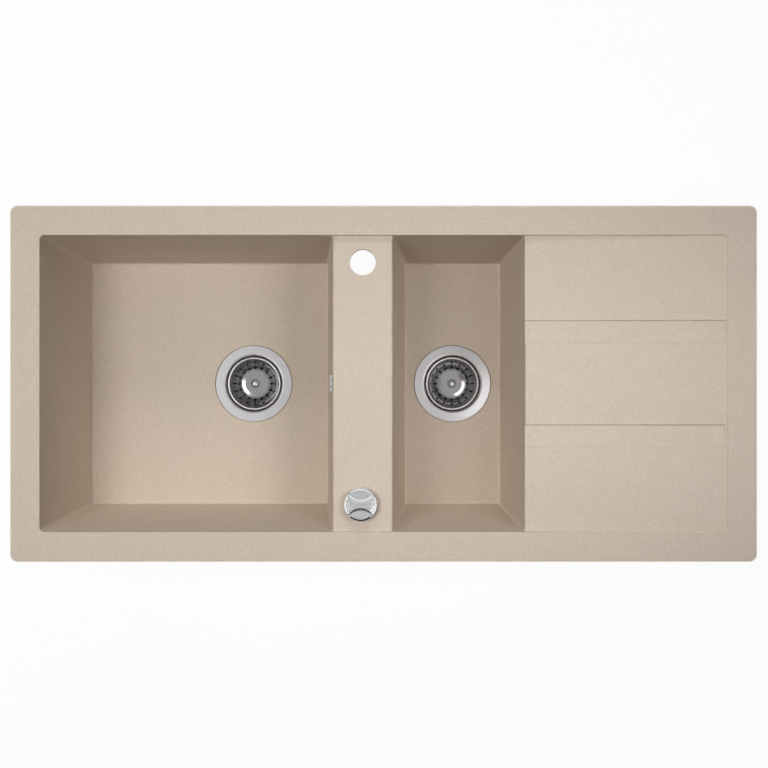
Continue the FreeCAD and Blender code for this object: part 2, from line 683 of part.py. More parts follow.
def drainer_channels(body):
    """Shallow channels in the drainer, parallel to its slope, open to the small bowl."""
    inner = (s.channel_spacing - s.channel_width) / 2
    outer = (s.channel_spacing + s.channel_width) / 2
    end = right_edge - s.channel_end_gap
    start = small_right - s.deck_edge_round * 2
    for name, side in (("back_channel", 1), ("front_channel", -1)):
        outline = [
            (start, inner * side),
            (end, inner * side),
            (end, outer * side),
            (start, outer * side),
        ]
        sketch = new_sketch(body, f"{name}_outline", "XY", drainer_low)
        sketch.setExpression("AttachmentOffset.Rotation.Angle", f"-1 * atan({drainer_slope.text})")
        sketch.setExpression("AttachmentOffset.Rotation.Axis.y", "1")
        sketch.setExpression("AttachmentOffset.Rotation.Axis.z", "0")
        sketch.setExpression("AttachmentOffset.Base.x", small_right.text)
        draw(sketch, [(x - small_right, y) for x, y in outline])
        pocket(body, name, sketch, s.channel_depth, against_normal=True, lean=s.channel_slope)


def drainer_slopes(body):
    """Beside the channels the drainer falls gently to their floors where it meets the small bowl."""
    outer = (s.channel_spacing + s.channel_width) / 2
    crest = drainer_low + drainer_slope * s.channel_lead
    fall = (crest - drainer_low + s.channel_depth) / s.channel_lead
    overrun = s.deck_edge_round * 2
    foot = drainer_low - s.channel_depth - fall * overrun
    for name, far in (("back_slope", back_edge), ("front_slope", -outer)):
        sketch = draw(
            new_sketch(body, f"{name}_outline", "XZ", -far),
            [
                (small_right + s.channel_lead, crest),
                (small_right - overrun, foot),
                (small_right - overrun, rim_top),
                (small_right + s.channel_lead, rim_top),
            ],
        )
        pocket(body, name, sketch, back_edge - outer)


def overflow_openings(body):
    """The hole through the large bowl's right wall and the shallow seat for the overflow cover."""
    half_length = s.overflow_cover_length / 2 + s.overflow_cover_gap
    half_height = overflow_cover_height / 2 + s.overflow_cover_gap
    seat = rounded_box(
        -half_length, half_length, overflow_z - half_height, overflow_z + half_height,
        s.overflow_cover_round + s.overflow_cover_gap,
    )
    sketch = draw(new_sketch(body, "overflow_seat_outline", "YZ", overflow_seat_x), seat)
    pocket(body, "overflow_seat", sketch, s.wall_thickness, against_normal=True)
    hole = slot_outline(as_size(0.0), overflow_z, s.overflow_hole_length, s.overflow_hole_height)
    sketch = draw(new_sketch(body, "overflow_hole_outline", "YZ", overflow_seat_x - s.wall_thickness), hole)
    pocket(body, "overflow_hole", sketch, s.wall_thickness * 2 + s.overflow_boss_depth * 2)


# The strainer wastes. Heights are measured from the bowl floor.

flange_under = s.flange_seal_thickness - s.drain_seat_depth
flange_top = flange_under + s.flange_sheet
dish_wall = s.drain_hole_diameter / 2 - s.dish_gap - s.flange_sheet
dish_mouth = dish_wall + s.dish_bend
dish_floor = flange_top - s.dish_depth
well_floor = dish_floor - s.dish_well_depth
well_under = well_floor - s.flange_sheet
stem_guide = s.stem_diameter / 2 + s.sliding_clearance
bolt_diameter = (stem_guide + s.bolt_wall) * 2
bolt_head = s.dish_well_diameter / 2 - s.bolt_head_clearance
boss_diameter = bolt_diameter + s.boss_wall * 2
bolt_tip = well_floor - s.bolt_length
basket_top = flange_top - s.basket_rim_drop
basket_floor = basket_top - s.basket_depth
island_top = basket_floor + s.island_height
button_seat = island_top - s.island_well_depth
hub_under = button_seat - s.basket_sheet
stem_collar = s.island_well_diameter / 2 + s.stem_collar_step
seal_low = dish_floor + s.seal_clearance
seal_high = seal_low + s.basket_seal_thickness
stem_tip = dish_floor - s.stem_tail
body_top = -s.floor_thickness - s.body_seal_thickness
cup_low = -s.floor_thickness - s.body_cup_depth
cone_low = cup_low - s.body_cone_height
outlet_end = cone_low - s.outlet_length
boss_top = well_under - s.boss_gap
boss_low = boss_top - s.boss_height
body_bore = (dish_wall + s.flange_sheet + s.body_clearance) * 2
pin_top = stem_tip - s.pin_gap
pin_low = bolt_tip - s.lift_travel - s.pin_foot_thickness - s.pin_gap * 4
lever_z = pin_low - s.pin_gap - s.lever_nose_diameter / 2
gland_bore = s.lever_shaft_diameter / 2 + s.sliding_clearance
gland_outside = gland_bore + s.gland_wall
gland_end = body_bore / 2 + s.body_wall + s.gland_gap + s.gland_cap_length - s.gland_cap_lip
spigot_end = body_bore / 2 + s.body_wall + s.spigot_length
shaft_end = gland_end + s.gland_cap_lip + s.gland_gap + s.crank_thickness


def make_flange(label, place):
    """Pressed steel flange and dish with outlet holes in the floor."""
    rim, edge, sheet = s.flange_diameter / 2, s.flange_edge_round, s.flange_sheet
    mouth, bend, wall, floor = dish_mouth, s.dish_bend, dish_wall, s.dish_floor_diameter / 2
    well, hole = s.dish_well_diameter / 2, bolt_diameter / 2 + s.fit_clearance
    collar = flange_top - s.dish_collar
    body = turned(label, place, [
        (rim, flange_under),
        (rim, flange_top - edge),
        (rim - edge, flange_top, edge, "left"),
        (mouth, flange_top),
        (wall, flange_top - bend, bend, "left"),
        (wall, collar),
        (floor, dish_floor),
        (well, dish_floor),
        (well, well_floor),
        (hole, well_floor),
        (hole, well_under),
        (well + sheet, well_under),
        (well + sheet, dish_floor - sheet),
        (floor + s.dish_foot_step, dish_floor - sheet),
        (wall + sheet, collar - s.dish_collar_step),
        (wall + sheet, flange_top - bend),
        (mouth, flange_under, bend - sheet, "right"),
    ])
    sketch = new_sketch(body, f"{label}_hole_outline", "XY", dish_floor - sheet * 2)
    draw_circle(sketch, s.dish_hole_circle / 2, 0.0, s.dish_hole_diameter)
    hole = pocket(body, f"{label}_hole", sketch, sheet * 3)
    around(body, f"{label}_holes", hole, s.dish_hole_count)


def make_ring(label, place, bore, outside, low, high):
    """A flat ring from its bore and outside diameters and its two heights."""
    turned(label, place, [(bore / 2, low), (outside / 2, low), (outside / 2, high), (bore / 2, high)])


def make_bolt(label, place):
    """Hollow clamping bolt with a slotted head."""
    bore, shank, head = stem_guide, bolt_diameter / 2, bolt_head
    top = dish_floor - s.bolt_head_gap
    bevel = s.bolt_key_depth / 3
    body = turned(label, place, [
        (bore, bolt_tip),
        (shank - bevel, bolt_tip),
        (shank, bolt_tip + bevel),
        (shank, well_floor),
        (head, well_floor),
        (head, top - bevel),
        (head - bevel, top),
        (bore, top),
    ])
    half = s.bolt_key_width / 2
    key = rounded_box(-head * 2, head * 2, -half, half, half / 3)
    sketch = draw(new_sketch(body, f"{label}_key_outline", "XY", top - s.bolt_key_depth), key)
    pocket(body, f"{label}_key", sketch, s.bolt_key_depth * 2)


def make_basket(label, place):
    """Pressed steel basket with a rolled rim, a slotted wall and a raised disc in its floor."""
    rim, bead, sheet = dish_wall - s.basket_clearance, s.basket_rim_width / 2, s.basket_sheet
    island, curve = s.island_diameter / 2, s.island_round
    foot = island + s.basket_gutter
    well, hub = s.island_well_diameter / 2, stem_collar
    hole = s.stem_diameter / 2 + s.fit_clearance
    rim_low = basket_top - bead - s.basket_rim_skirt
    bevel, bevel_low = island - curve, island_top - s.island_bevel_drop
    flat = bevel - s.island_bevel_width
    body = turned(label, place, [
        (rim, rim_low),
        (rim, basket_top - bead),
        (rim - bead, basket_top, bead, "left"),
        (rim - bead * 2, basket_top - bead, bead, "left"),
        (foot, basket_floor),
        (island, basket_floor),
        (island, bevel_low - curve),
        (bevel, bevel_low, curve, "left"),
        (flat, island_top),
        (well, island_top),
        (well, button_seat),
        (hole, button_seat),
        (hole, hub_under),
        (hub, hub_under),
        (hub, island_top - sheet),
        (flat, island_top - sheet),
        (bevel, bevel_low - sheet),
        (island - sheet, bevel_low - curve, curve - sheet, "right"),
        (island - sheet, basket_floor - sheet),
        (foot + s.basket_foot_step, basket_floor - sheet),
        (rim - bead * 2 + s.basket_wall_step, rim_low),
    ])
    half = s.basket_slot_width / 2
    slot_end = rim - s.basket_rim_width - s.basket_slot_margin
    outline = rounded_box(island + sheet, slot_end, -half, half, half * ROUND_END)
    sketch = draw(new_sketch(body, f"{label}_slot_outline", "XY", basket_floor - sheet * 2), outline)
    slot = pocket(body, f"{label}_slot", sketch, s.basket_depth + sheet)
    around(body, f"{label}_slots", slot, s.basket_slot_count)


def make_stem(label, place):
    """Stem that carries the basket on a collar, with a domed button on top."""
    button, stem, collar = s.button_diameter / 2, s.stem_diameter / 2, stem_collar
    crown = s.button_crown
    dome = (button * button + crown * crown) / (crown * 2)
    bevel = stem / 4
    turned(label, place, [
        (0.0, stem_tip),
        (stem - bevel, stem_tip),
        (stem, stem_tip + bevel),
        (stem, seal_high),
        (collar, seal_high),
        (collar, hub_under),
        (stem, hub_under),
        (stem, button_seat),
        (button, button_seat),
        (button, button_seat + s.button_height - crown),
        (0.0, button_seat + s.button_height, dome, "left"),
    ])


def make_waste_body(label, place):
    """Moulded waste body: clamping flange with gussets, cup, cone and outlet, with a ribbed boss inside."""
    bore, flange = body_bore / 2, s.body_flange_diameter / 2
    tube, outlet = s.outlet_bore / 2, s.outlet_diameter / 2
    body = turned(label, place, [
        (bore, body_top),
        (flange, body_top),
        (flange, body_top - s.body_flange_thickness),
        (bore + s.body_wall, body_top - s.body_flange_thickness),
        (bore + s.body_wall, cup_low),
        (outlet, cone_low),
        (outlet, outlet_end),
        (tube, outlet_end),
        (tube, cone_low),
        (bore, cup_low),
    ])
    root, edge = bore + s.body_wall / 2, flange - s.gusset_margin
    under = body_top - s.body_flange_thickness
    foot = under - s.gusset_height
    outline = [
        (root, under + s.body_flange_thickness / 2),
        (root, foot),
        (bore + s.body_wall, foot),
        (edge, under),
        (edge, under + s.body_flange_thickness / 2),
    ]
    sketch = draw(new_sketch(body, f"{label}_gusset_outline", "XZ"), outline)
    gusset = pad(body, f"{label}_gusset", sketch, s.gusset_width, both_ways=True)
    around(body, f"{label}_gussets", gusset, s.gusset_count)
    sketch = new_sketch(body, f"{label}_boss_outline", "XY", boss_low)
    pad(body, f"{label}_boss", draw_circle(sketch, 0.0, 0.0, boss_diameter), s.boss_height)
    half = s.boss_rib_width / 2
    outline = rounded_box(boss_diameter / 4, bore + s.body_wall / 2, -half, half, half / 4)
    sketch = draw(new_sketch(body, f"{label}_rib_outline", "XY", boss_low), outline)
    rib = pad(body, f"{label}_rib", sketch, s.boss_rib_height)
    around(body, f"{label}_ribs", rib, s.boss_rib_count)
    sketch = new_sketch(body, f"{label}_bolt_outline", "XY", boss_low - s.boss_height / 2)
    draw_circle(sketch, 0.0, 0.0, bolt_diameter + s.fit_clearance * 2)
    pocket(body, f"{label}_bolt_hole", sketch, s.boss_height * 2)
    return body


def add_overflow_inlet(body):
    """Socket for the overflow pipe on the right of the waste body's cup."""
    start = body_bore / 2
    step = spigot_end - s.pipe_insertion
    low = -s.spigot_drop
    sketch = draw_circle(new_sketch(body, "inlet_outline", "YZ", start), 0.0, low, socket_outside)
    pad(body, "inlet", sketch, spigot_end - start)
    sketch = draw_circle(new_sketch(body, "inlet_socket_outline", "YZ", step), 0.0, low, socket_bore)
    pocket(body, "inlet_socket", sketch, s.pipe_insertion * 2)
    inside = start - s.body_wall * 3
    sketch = draw_circle(new_sketch(body, "inlet_bore_outline", "YZ", inside), 0.0, low, pipe_bore)
    pocket(body, "inlet_bore", sketch, spigot_end - start)


def add_lever_gland(body):
    """Tube on the front of the waste body that the lever's shaft turns in."""
    start = s.lever_width * 2
    sketch = new_sketch(body, "gland_outline", "XZ", start)
    pad(body, "gland", draw_circle(sketch, -s.lever_arm, lever_z, gland_outside * 2), gland_end - start)
    sketch = new_sketch(body, "gland_bore_outline", "XZ", start - gland_outside)
    pocket(body, "gland_bore", draw_circle(sketch, -s.lever_arm, lever_z, gland_bore * 2), gland_end)


def make_strainer(prefix, place):
    """One bowl's strainer from the flange down to the outlet thread."""
    seat_bore = s.drain_hole_diameter + s.drain_seat_gap
    make_flange(f"{prefix}_flange", place)
    flange_seal = s.flange_diameter - s.drain_seat_gap * 2
    make_ring(f"{prefix}_flange_seal", place, seat_bore, flange_seal, -s.drain_seat_depth, flange_under)
    make_bolt(f"{prefix}_bolt", place)
    make_basket(f"{prefix}_basket", place)
    make_stem(f"{prefix}_basket_stem", place)
    stem_hole = s.stem_diameter + s.fit_clearance * 2
    seal_outside = s.dish_floor_diameter - s.basket_seal_margin * 2
    make_ring(f"{prefix}_basket_seal", place, stem_hole, seal_outside, seal_low, seal_high)
    make_ring(
        f"{prefix}_body_seal", place, seat_bore, s.body_flange_diameter, body_top, -s.floor_thickness
    )
    return make_waste_body(f"{prefix}_waste_body", place)


# The lifting gear under the large bowl

def make_lift_pin(place):
    stem, foot = s.stem_diameter / 2, s.pin_foot_diameter / 2
    turned("lift_pin", place, [
        (0.0, pin_low),
        (foot, pin_low),
        (foot, pin_low + s.pin_foot_thickness),
        (stem, pin_low + s.pin_foot_thickness),
        (stem, pin_top),
        (0.0, pin_top),
    ])


def make_lift_lever(x, z):
    """Lever on a shaft along Y: its arm lies under the lift pin, its crank hangs outside."""
    body = new_body("lift_lever", x, 0.0, z)
    nose, half = s.lever_nose_diameter / 2, s.lever_width / 2
    arm = rounded_box(-nose, s.lever_arm + nose, -nose, nose, nose * ROUND_END)
    pad(body, "arm", draw(new_sketch(body, "arm_outline", "XZ"), arm), s.lever_width, both_ways=True)
    sketch = new_sketch(body, "shaft_outline", "XZ", -half)
    pad(body, "shaft", draw_circle(sketch, 0.0, 0.0, s.lever_shaft_diameter), shaft_end + half)
    hub = s.crank_hub_diameter / 2
    crank = rounded_box(-hub, hub, -s.crank_arm - hub, hub, hub * ROUND_END)
    sketch = draw(new_sketch(body, "crank_outline", "XZ", shaft_end - s.crank_thickness), crank)
    pad(body, "crank", sketch, s.crank_thickness)
    sketch = new_sketch(body, "eye_outline", "XZ", shaft_end - s.crank_thickness * 2)
    pocket(body, "eye", draw_circle(sketch, 0.0, -s.crank_arm, s.crank_eye_diameter), s.crank_thickness * 3)


def make_lever_gland(x, z):
    """Screwed cap on the end of the gland tube. Its own +Z runs outwards along the shaft."""
    tube = gland_outside + s.fit_clearance
    outside = tube + s.gland_cap_wall
    end = s.gland_cap_lip
    start = end - s.gland_cap_length
    turned("lever_gland", (x, -gland_end, z), [
        (tube, start),
        (outside, start),
        (outside, end),
        (gland_bore, end),
        (gland_bore, 0.0),
        (tube, 0.0),
    ], upwards=FreeCAD.Vector(0, -1, 0))


# The overflow

def union_nut(label, place, upwards):
    """Ribbed union nut. Its own origin is the middle of the socket's end, which its lip closes over."""
    inner = socket_outside / 2 + s.fit_clearance
    outer = inner + s.nut_wall
    hole = socket_bore / 2
    start = s.nut_lip - s.nut_length
    body = turned(label, place, [
        (inner, start),
        (outer, start),
        (outer, s.nut_lip),
        (hole, s.nut_lip),
        (hole, 0.0),
        (inner, 0.0),
    ], upwards=upwards)
    sketch = draw_circle(
        new_sketch(body, f"{label}_rib_outline", "XY", start), outer, 0.0, s.nut_rib_radius * 2
    )
    rib = pad(body, f"{label}_rib", sketch, s.nut_length - s.nut_lip)
    around(body, f"{label}_ribs", rib, s.nut_rib_count)


def make_overflow_cover(place):
    """Slotted cover on the bowl's wall. Its back lies in the plane of its own origin."""
    body = new_body("overflow_cover", *place)
    zero, thickness = as_size(0.0), s.overflow_cover_thickness
    outline = rounded_box(
        -s.overflow_cover_length / 2, s.overflow_cover_length / 2,
        -overflow_cover_height / 2, overflow_cover_height / 2, s.overflow_cover_round,
    )
    sketch = draw(new_sketch(body, "cover_outline", "YZ"), outline)
    pad(body, "cover", sketch, thickness, downwards=True)
    high = overflow_cover_height
    low = overflow_cover_height / 2 - s.overflow_slot_height
    half = s.overflow_slot_width / 2
    for side, middle in ((1, s.overflow_slot_spacing / 2), (2, -s.overflow_slot_spacing / 2)):
        slot = rounded_box(middle - half, middle + half, low, high, half * ROUND_END)
        sketch = draw(new_sketch(body, f"cover_slot_{side}_outline", "YZ", thickness), slot)
        pocket(body, f"cover_slot_{side}", sketch, thickness * 3, against_normal=True)
    hole = s.screw_diameter + s.fit_clearance * 2
    sketch = draw_circle(new_sketch(body, "cover_hole_outline", "YZ", thickness), zero, zero, hole)
    pocket(body, "cover_hole", sketch, thickness * 3, against_normal=True)
    seat = s.screw_head_diameter + s.fit_clearance * 4
    sketch = new_sketch(body, "cover_seat_outline", "YZ", s.screw_head_seat - thickness)
    pocket(body, "cover_seat", draw_circle(sketch, zero, zero, seat), thickness, against_normal=True)


def make_overflow_screw(place):
    """Screw from the cover into the elbow. Its own +Z runs outwards through the wall."""
    head, shank = s.screw_head_diameter / 2, s.screw_diameter / 2
    under = s.screw_head_seat - s.overflow_cover_thickness
    tip = elbow_x + post_front + s.screw_engagement - overflow_seat_x
    turned("overflow_screw", place, [
        (0.0, under - s.screw_head_height),
        (s.screw_head_flat / 2, under - s.screw_head_height),
        (head, under - s.screw_head_rim),
        (head, under),
        (shank, under),
        (shank, tip - shank),
        (0.0, tip),
    ], upwards=FreeCAD.Vector(1, 0, 0))


def make_overflow_seal(place):
    body = new_body("overflow_seal", *place)
    half_width, half_height = s.elbow_width / 2, s.elbow_height / 2
    inset = s.elbow_wall * 2
    outline = rounded_box(-half_width, half_width, -half_height, half_height, s.elbow_round)
    sketch = draw(new_sketch(body, "seal_outline", "YZ"), outline)
    pad(body, "seal", sketch, s.overflow_seal_thickness)
    opening = rounded_box(
        inset - half_width, half_width - inset, inset - half_height, half_height - inset, s.elbow_round / 2
    )
    sketch = draw(new_sketch(body, "seal_opening_outline", "YZ", -s.overflow_seal_thickness), opening)
    pocket(body, "seal_opening", sketch, s.overflow_seal_thickness * 3)


def make_overflow_elbow(place):
    """Chamber behind the overflow with a pipe socket underneath and a screw post inside."""
    body = new_body("overflow_elbow", *place)
    half_width, half_height, wall = s.elbow_width / 2, s.elbow_height / 2, s.elbow_wall
    middle = elbow_depth / 2
    socket_low = -half_height - s.elbow_socket_length
    outline = rounded_box(-half_width, half_width, -half_height, half_height, s.elbow_round)
    pad(body, "chamber", draw(new_sketch(body, "chamber_outline", "YZ"), outline), elbow_depth)

    def outer_edge(edge):
        return edge.BoundBox.XMin > elbow_depth.value - 1e-4

    round_edges(body, "chamber_edge", s.elbow_edge_round, outer_edge)
    sketch = draw_circle(new_sketch(body, "socket_outline", "XY", socket_low), middle, 0.0, socket_outside)
    pad(body, "socket", sketch, s.elbow_socket_length + wall / 2)
    inside = rounded_box(
        wall - half_width, half_width - wall, wall - half_height, half_height - wall, s.elbow_round - wall
    )
    sketch = draw(new_sketch(body, "chamber_inside_outline", "YZ", -wall), inside)
    pocket(body, "chamber_inside", sketch, elbow_depth)
    sketch = new_sketch(body, "socket_bore_outline", "XY", socket_low - s.pipe_insertion)
    pocket(body, "socket_bore", draw_circle(sketch, middle, 0.0, socket_bore), s.pipe_insertion * 2)
    sketch = draw_circle(new_sketch(body, "drop_outline", "XY", socket_low), middle, 0.0, pipe_bore)
    pocket(body, "drop", sketch, s.elbow_socket_length + wall * 2)
    sketch = new_sketch(body, "post_outline", "YZ", post_front)
    draw_circle(sketch, 0.0, 0.0, s.elbow_post_diameter)
    pad(body, "post", sketch, s.elbow_post_length + wall / 2)
    hole = s.screw_diameter + s.fit_clearance * 2
    sketch = draw_circle(new_sketch(body, "post_hole_outline", "YZ", -wall), 0.0, 0.0, hole)
    pocket(body, "post_hole", sketch, elbow_depth - wall)


def make_overflow_pipe(start_x, low_z, high_z):
    """Pipe that leaves the waste body to the right and bends up to the elbow."""
    body = new_body("overflow_pipe", pipe_x, 0.0, low_z)
    run = start_x - pipe_x
    path = draw(
        new_sketch(body, "pipe_path", "XZ"),
        [
            (run, 0.0),
            (-s.pipe_bend, 0.0),
            (0.0, s.pipe_bend, s.pipe_bend, "left"),
            (0.0, high_z - low_z),
        ],
        closed=False,
    )
    ring = draw_circle(new_sketch(body, "pipe_ring", "YZ", run), 0.0, 0.0, s.pipe_diameter)
    draw_circle(ring, 0.0, 0.0, pipe_bore)
    doc.recompute()
    pipe = body.newObject("PartDesign::AdditivePipe", "pipe")
    pipe.Profile = ring
    pipe.Spine = (path, [f"Edge{i + 1}" for i in range(len(path.Shape.Edges))])


# The knob on the deck. Heights are measured from the deck.

ring_low = s.ring_seal_thickness
ring_top = ring_low + s.ring_height
ring_outside = s.knob_diameter / 2 - s.ring_inset
sleeve_outside = s.knob_hole_diameter / 2 - s.sleeve_clearance
sleeve_flange = ring_outside - s.ring_width
control_nut_corner = s.knob_hole_diameter / 2 + s.control_nut_margin
knob_low = ring_top + s.knob_gap
knob_crown = knob_low + s.knob_height
spindle_top = knob_low + s.spindle_socket
sleeve_low = ring_low - s.sleeve_length
drum_high = sleeve_low - s.box_wall - s.drum_gap
drum_low = drum_high - s.drum_height
box_low = drum_low - s.drum_gap
spindle_bore = s.spindle_diameter + s.sliding_clearance * 2
box_outside = s.drum_diameter + s.drum_gap * 2 + s.box_wall * 2


def make_knob(place):
    """Round knob with two finger recesses that leave a waisted grip along X."""
    outside, edge = s.knob_diameter / 2, s.knob_edge_round
    shoulder = knob_crown - s.knob_dome
    flat = outside - edge
    dome = (flat * flat + s.knob_dome * s.knob_dome) / (s.knob_dome * 2)
    socket = s.spindle_diameter / 2 + s.fit_clearance
    roof = spindle_top + s.fit_clearance
    hollow_inner, hollow_outer = s.knob_hub_diameter / 2, outside - s.knob_wall
    hollow_top = knob_low + s.knob_hollow_depth
    body = turned("control_knob", place, [
        (socket, knob_low),
        (hollow_inner, knob_low),
        (hollow_inner, hollow_top),
        (hollow_outer, hollow_top),
        (hollow_outer, knob_low),
        (outside, knob_low),
        (outside, shoulder - edge),
        (flat, shoulder, edge, "left"),
        (0.0, knob_crown, dome, "left"),
        (0.0, roof),
        (socket, roof),
    ])
    away = s.knob_grip_width / 2 + s.knob_recess_radius
    for name, middle in (("back_recess", away), ("front_recess", -away)):
        sketch = new_sketch(body, f"{name}_outline", "XY", knob_crown)
        draw_circle(sketch, 0.0, middle, s.knob_recess_radius * 2)
        pocket(body, name, sketch, s.knob_recess_depth, against_normal=True, lean=s.knob_recess_lean)


def make_knob_ring(place):
    inner, outer, curve = sleeve_flange + s.fit_clearance, ring_outside, s.ring_round
    turned("knob_ring", place, [
        (inner, ring_low),
        (outer, ring_low),
        (outer, ring_top - curve),
        (outer - curve, ring_top, curve, "left"),
        (inner, ring_top),
    ])


def make_sleeve(place):
    """Threaded sleeve through the deck, with the upper bearing of the spindle."""
    bore, outside, flange = spindle_bore / 2, sleeve_outside, sleeve_flange
    hollow = outside - s.sleeve_wall
    bearing_low = ring_low - s.sleeve_bearing
    turned("control_sleeve", place, [
        (bore, bearing_low),
        (hollow, bearing_low),
        (hollow, sleeve_low),
        (outside, sleeve_low),
        (outside, ring_low),
        (flange, ring_low),
        (flange, ring_low + s.sleeve_flange_thickness),
        (bore, ring_low + s.sleeve_flange_thickness),
    ])


def make_spindle(place):
    """Spindle from the knob down to the grooved drum that winds the cable."""
    shaft, drum = s.spindle_diameter / 2, s.drum_diameter / 2
    middle, groove = (drum_high + drum_low) / 2, s.drum_height / 4
    turned("control_spindle", place, [
        (0.0, drum_low),
        (drum, drum_low),
        (drum, middle - groove),
        (drum - groove, middle),
        (drum, middle + groove),
        (drum, drum_high),
        (shaft, drum_high),
        (shaft, spindle_top),
        (0.0, spindle_top),
    ])


def make_cable_box(place):
    """Box around the drum, with a gland for the cable on its left."""
    bore, outside, wall = spindle_bore / 2, box_outside / 2, s.box_wall
    body = turned("cable_box", place, [
        (bore, sleeve_low - wall),
        (outside - wall, sleeve_low - wall),
        (outside - wall, box_low),
        (outside, box_low),
        (outside, sleeve_low),
        (bore, sleeve_low),
    ])
    middle = (drum_high + drum_low) / 2
    reach = outside + s.cable_gland_length
    sketch = new_sketch(body, "cable_gland_outline", "YZ", -reach)
    length = s.cable_gland_length + s.cable_gland_root
    pad(body, "cable_gland", draw_circle(sketch, 0.0, middle, s.cable_gland_diameter), length)
    sketch = new_sketch(body, "cable_bore_outline", "YZ", -reach - wall)
    draw_circle(sketch, 0.0, middle, s.cable_bore)
    pocket(body, "cable_bore", sketch, s.cable_gland_length + wall * 3)


def make_control_nut(place, high):
    """Six-sided lock nut under the deck."""
    body = new_body("control_nut", *place)
    corners = []
    for side in range(6):
        angle = math.radians(60 * side + 30)
        corners.append((control_nut_corner * math.cos(angle), control_nut_corner * math.sin(angle)))
    low = high - s.control_nut_height
    pad(body, "nut", draw(new_sketch(body, "nut_outline", "XY", low), corners), s.control_nut_height)
    bore = (sleeve_outside + s.fit_clearance) * 2
    sketch = new_sketch(body, "nut_bore_outline", "XY", low - s.control_nut_height)
    draw_circle(sketch, 0.0, 0.0, bore)
    pocket(body, "nut_bore", sketch, s.control_nut_height * 3)


# The whole sink

make_sink_body()

main_place = (main_drain_x, 0.0, floor_top)
main_body = make_strainer("main", main_place)
add_overflow_inlet(main_body)
add_lever_gland(main_body)
make_lift_pin(main_place)
make_lift_lever(main_drain_x - s.lever_arm, floor_top + lever_z)
make_lever_gland(main_drain_x - s.lever_arm, floor_top + lever_z)
make_strainer("small", (small_drain_x, 0.0, floor_top))

cover_place = (overflow_seat_x, 0.0, overflow_z)
socket_end_z = overflow_z - s.elbow_height / 2 - s.elbow_socket_length
make_overflow_cover(cover_place)
make_overflow_screw(cover_place)
make_overflow_seal((overflow_pad_x, 0.0, overflow_z))
make_overflow_elbow((elbow_x, 0.0, overflow_z))
pipe_start_x = main_drain_x + spigot_end - s.pipe_insertion
make_overflow_pipe(pipe_start_x, pipe_low_z, socket_end_z + s.pipe_insertion)
union_nut("overflow_upper_nut", (pipe_x, 0.0, socket_end_z), FreeCAD.Vector(0, 0, -1))
lower_nut_place = (main_drain_x + spigot_end, 0.0, pipe_low_z)
union_nut("overflow_lower_nut", lower_nut_place, FreeCAD.Vector(1, 0, 0))

knob_place = (knob_x, knob_y, deck_top)
deck_thickness = deck_top - deck_under
washer_low = -deck_thickness - s.control_washer_thickness
sleeve_gap = s.knob_hole_diameter
make_knob(knob_place)
make_knob_ring(knob_place)
make_ring(
    "knob_ring_seal", knob_place, sleeve_gap, ring_outside * 2 - s.ring_round, as_size(0.0), ring_low
)
make_sleeve(knob_place)
make_ring(
    "control_washer", knob_place, sleeve_gap, control_nut_corner * 2, washer_low, -deck_thickness
)
make_control_nut(knob_place, washer_low)
make_spindle(knob_place)
make_cable_box(knob_place)
make_ring("cable_box_lid", knob_place, s.cable_bore, box_outside, box_low - s.box_wall, box_low)
doc.recompute()

# Nothing is written unless every object of the document is sound
for thing in doc.Objects:
    if "Invalid" in thing.State or "Error" in thing.State:
        raise RuntimeError(f"{thing.Label} failed: {thing.State}")
for body in SUB_PARTS:
    if body.Shape.isNull() or not body.Shape.isValid() or not body.Shape.Solids:
        raise RuntimeError(f"{body.Label} has no sound solid")

os.makedirs("parts", exist_ok=True)
for body in SUB_PARTS:
    body.Shape.exportStep(f"parts/{body.Label}.step")
    print(f"{body.Label}: {len(body.Shape.Solids)} solid, {body.Shape.Volume / 1000:.1f} cm3")
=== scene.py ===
import math

import bpy
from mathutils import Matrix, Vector


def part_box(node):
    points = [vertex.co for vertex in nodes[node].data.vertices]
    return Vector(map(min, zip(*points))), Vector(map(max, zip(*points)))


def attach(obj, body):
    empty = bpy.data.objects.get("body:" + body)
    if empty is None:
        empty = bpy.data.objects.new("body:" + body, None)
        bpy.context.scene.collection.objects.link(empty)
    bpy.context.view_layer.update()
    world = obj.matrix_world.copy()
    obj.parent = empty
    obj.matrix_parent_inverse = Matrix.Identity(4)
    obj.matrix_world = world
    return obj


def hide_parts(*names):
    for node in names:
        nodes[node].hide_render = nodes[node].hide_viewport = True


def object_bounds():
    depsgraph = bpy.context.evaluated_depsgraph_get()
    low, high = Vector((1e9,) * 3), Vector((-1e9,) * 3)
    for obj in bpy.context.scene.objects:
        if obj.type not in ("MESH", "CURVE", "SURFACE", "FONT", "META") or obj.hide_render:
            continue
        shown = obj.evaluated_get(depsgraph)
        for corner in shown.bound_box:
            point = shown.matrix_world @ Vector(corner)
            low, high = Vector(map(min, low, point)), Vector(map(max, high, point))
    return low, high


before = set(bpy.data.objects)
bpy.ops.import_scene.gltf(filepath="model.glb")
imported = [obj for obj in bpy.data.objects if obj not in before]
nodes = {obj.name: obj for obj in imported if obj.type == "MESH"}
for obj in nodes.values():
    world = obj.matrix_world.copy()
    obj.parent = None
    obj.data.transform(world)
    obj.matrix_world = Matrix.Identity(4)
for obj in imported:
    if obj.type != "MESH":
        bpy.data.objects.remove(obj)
cad_box = [list(corner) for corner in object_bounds()]

MM = 0.001
BOWLS = ("main", "small")


def middle_of(node_name):
    """The middle of a node's box."""
    low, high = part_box(node_name)
    return (low + high) / 2


# Places and sizes that the frame gives, in metres
RIM_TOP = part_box("sink_body")[1].z
LOWEST = cad_box[0][2]
BASKET_RADIUS = (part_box("main_basket")[1].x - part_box("main_basket")[0].x) / 2

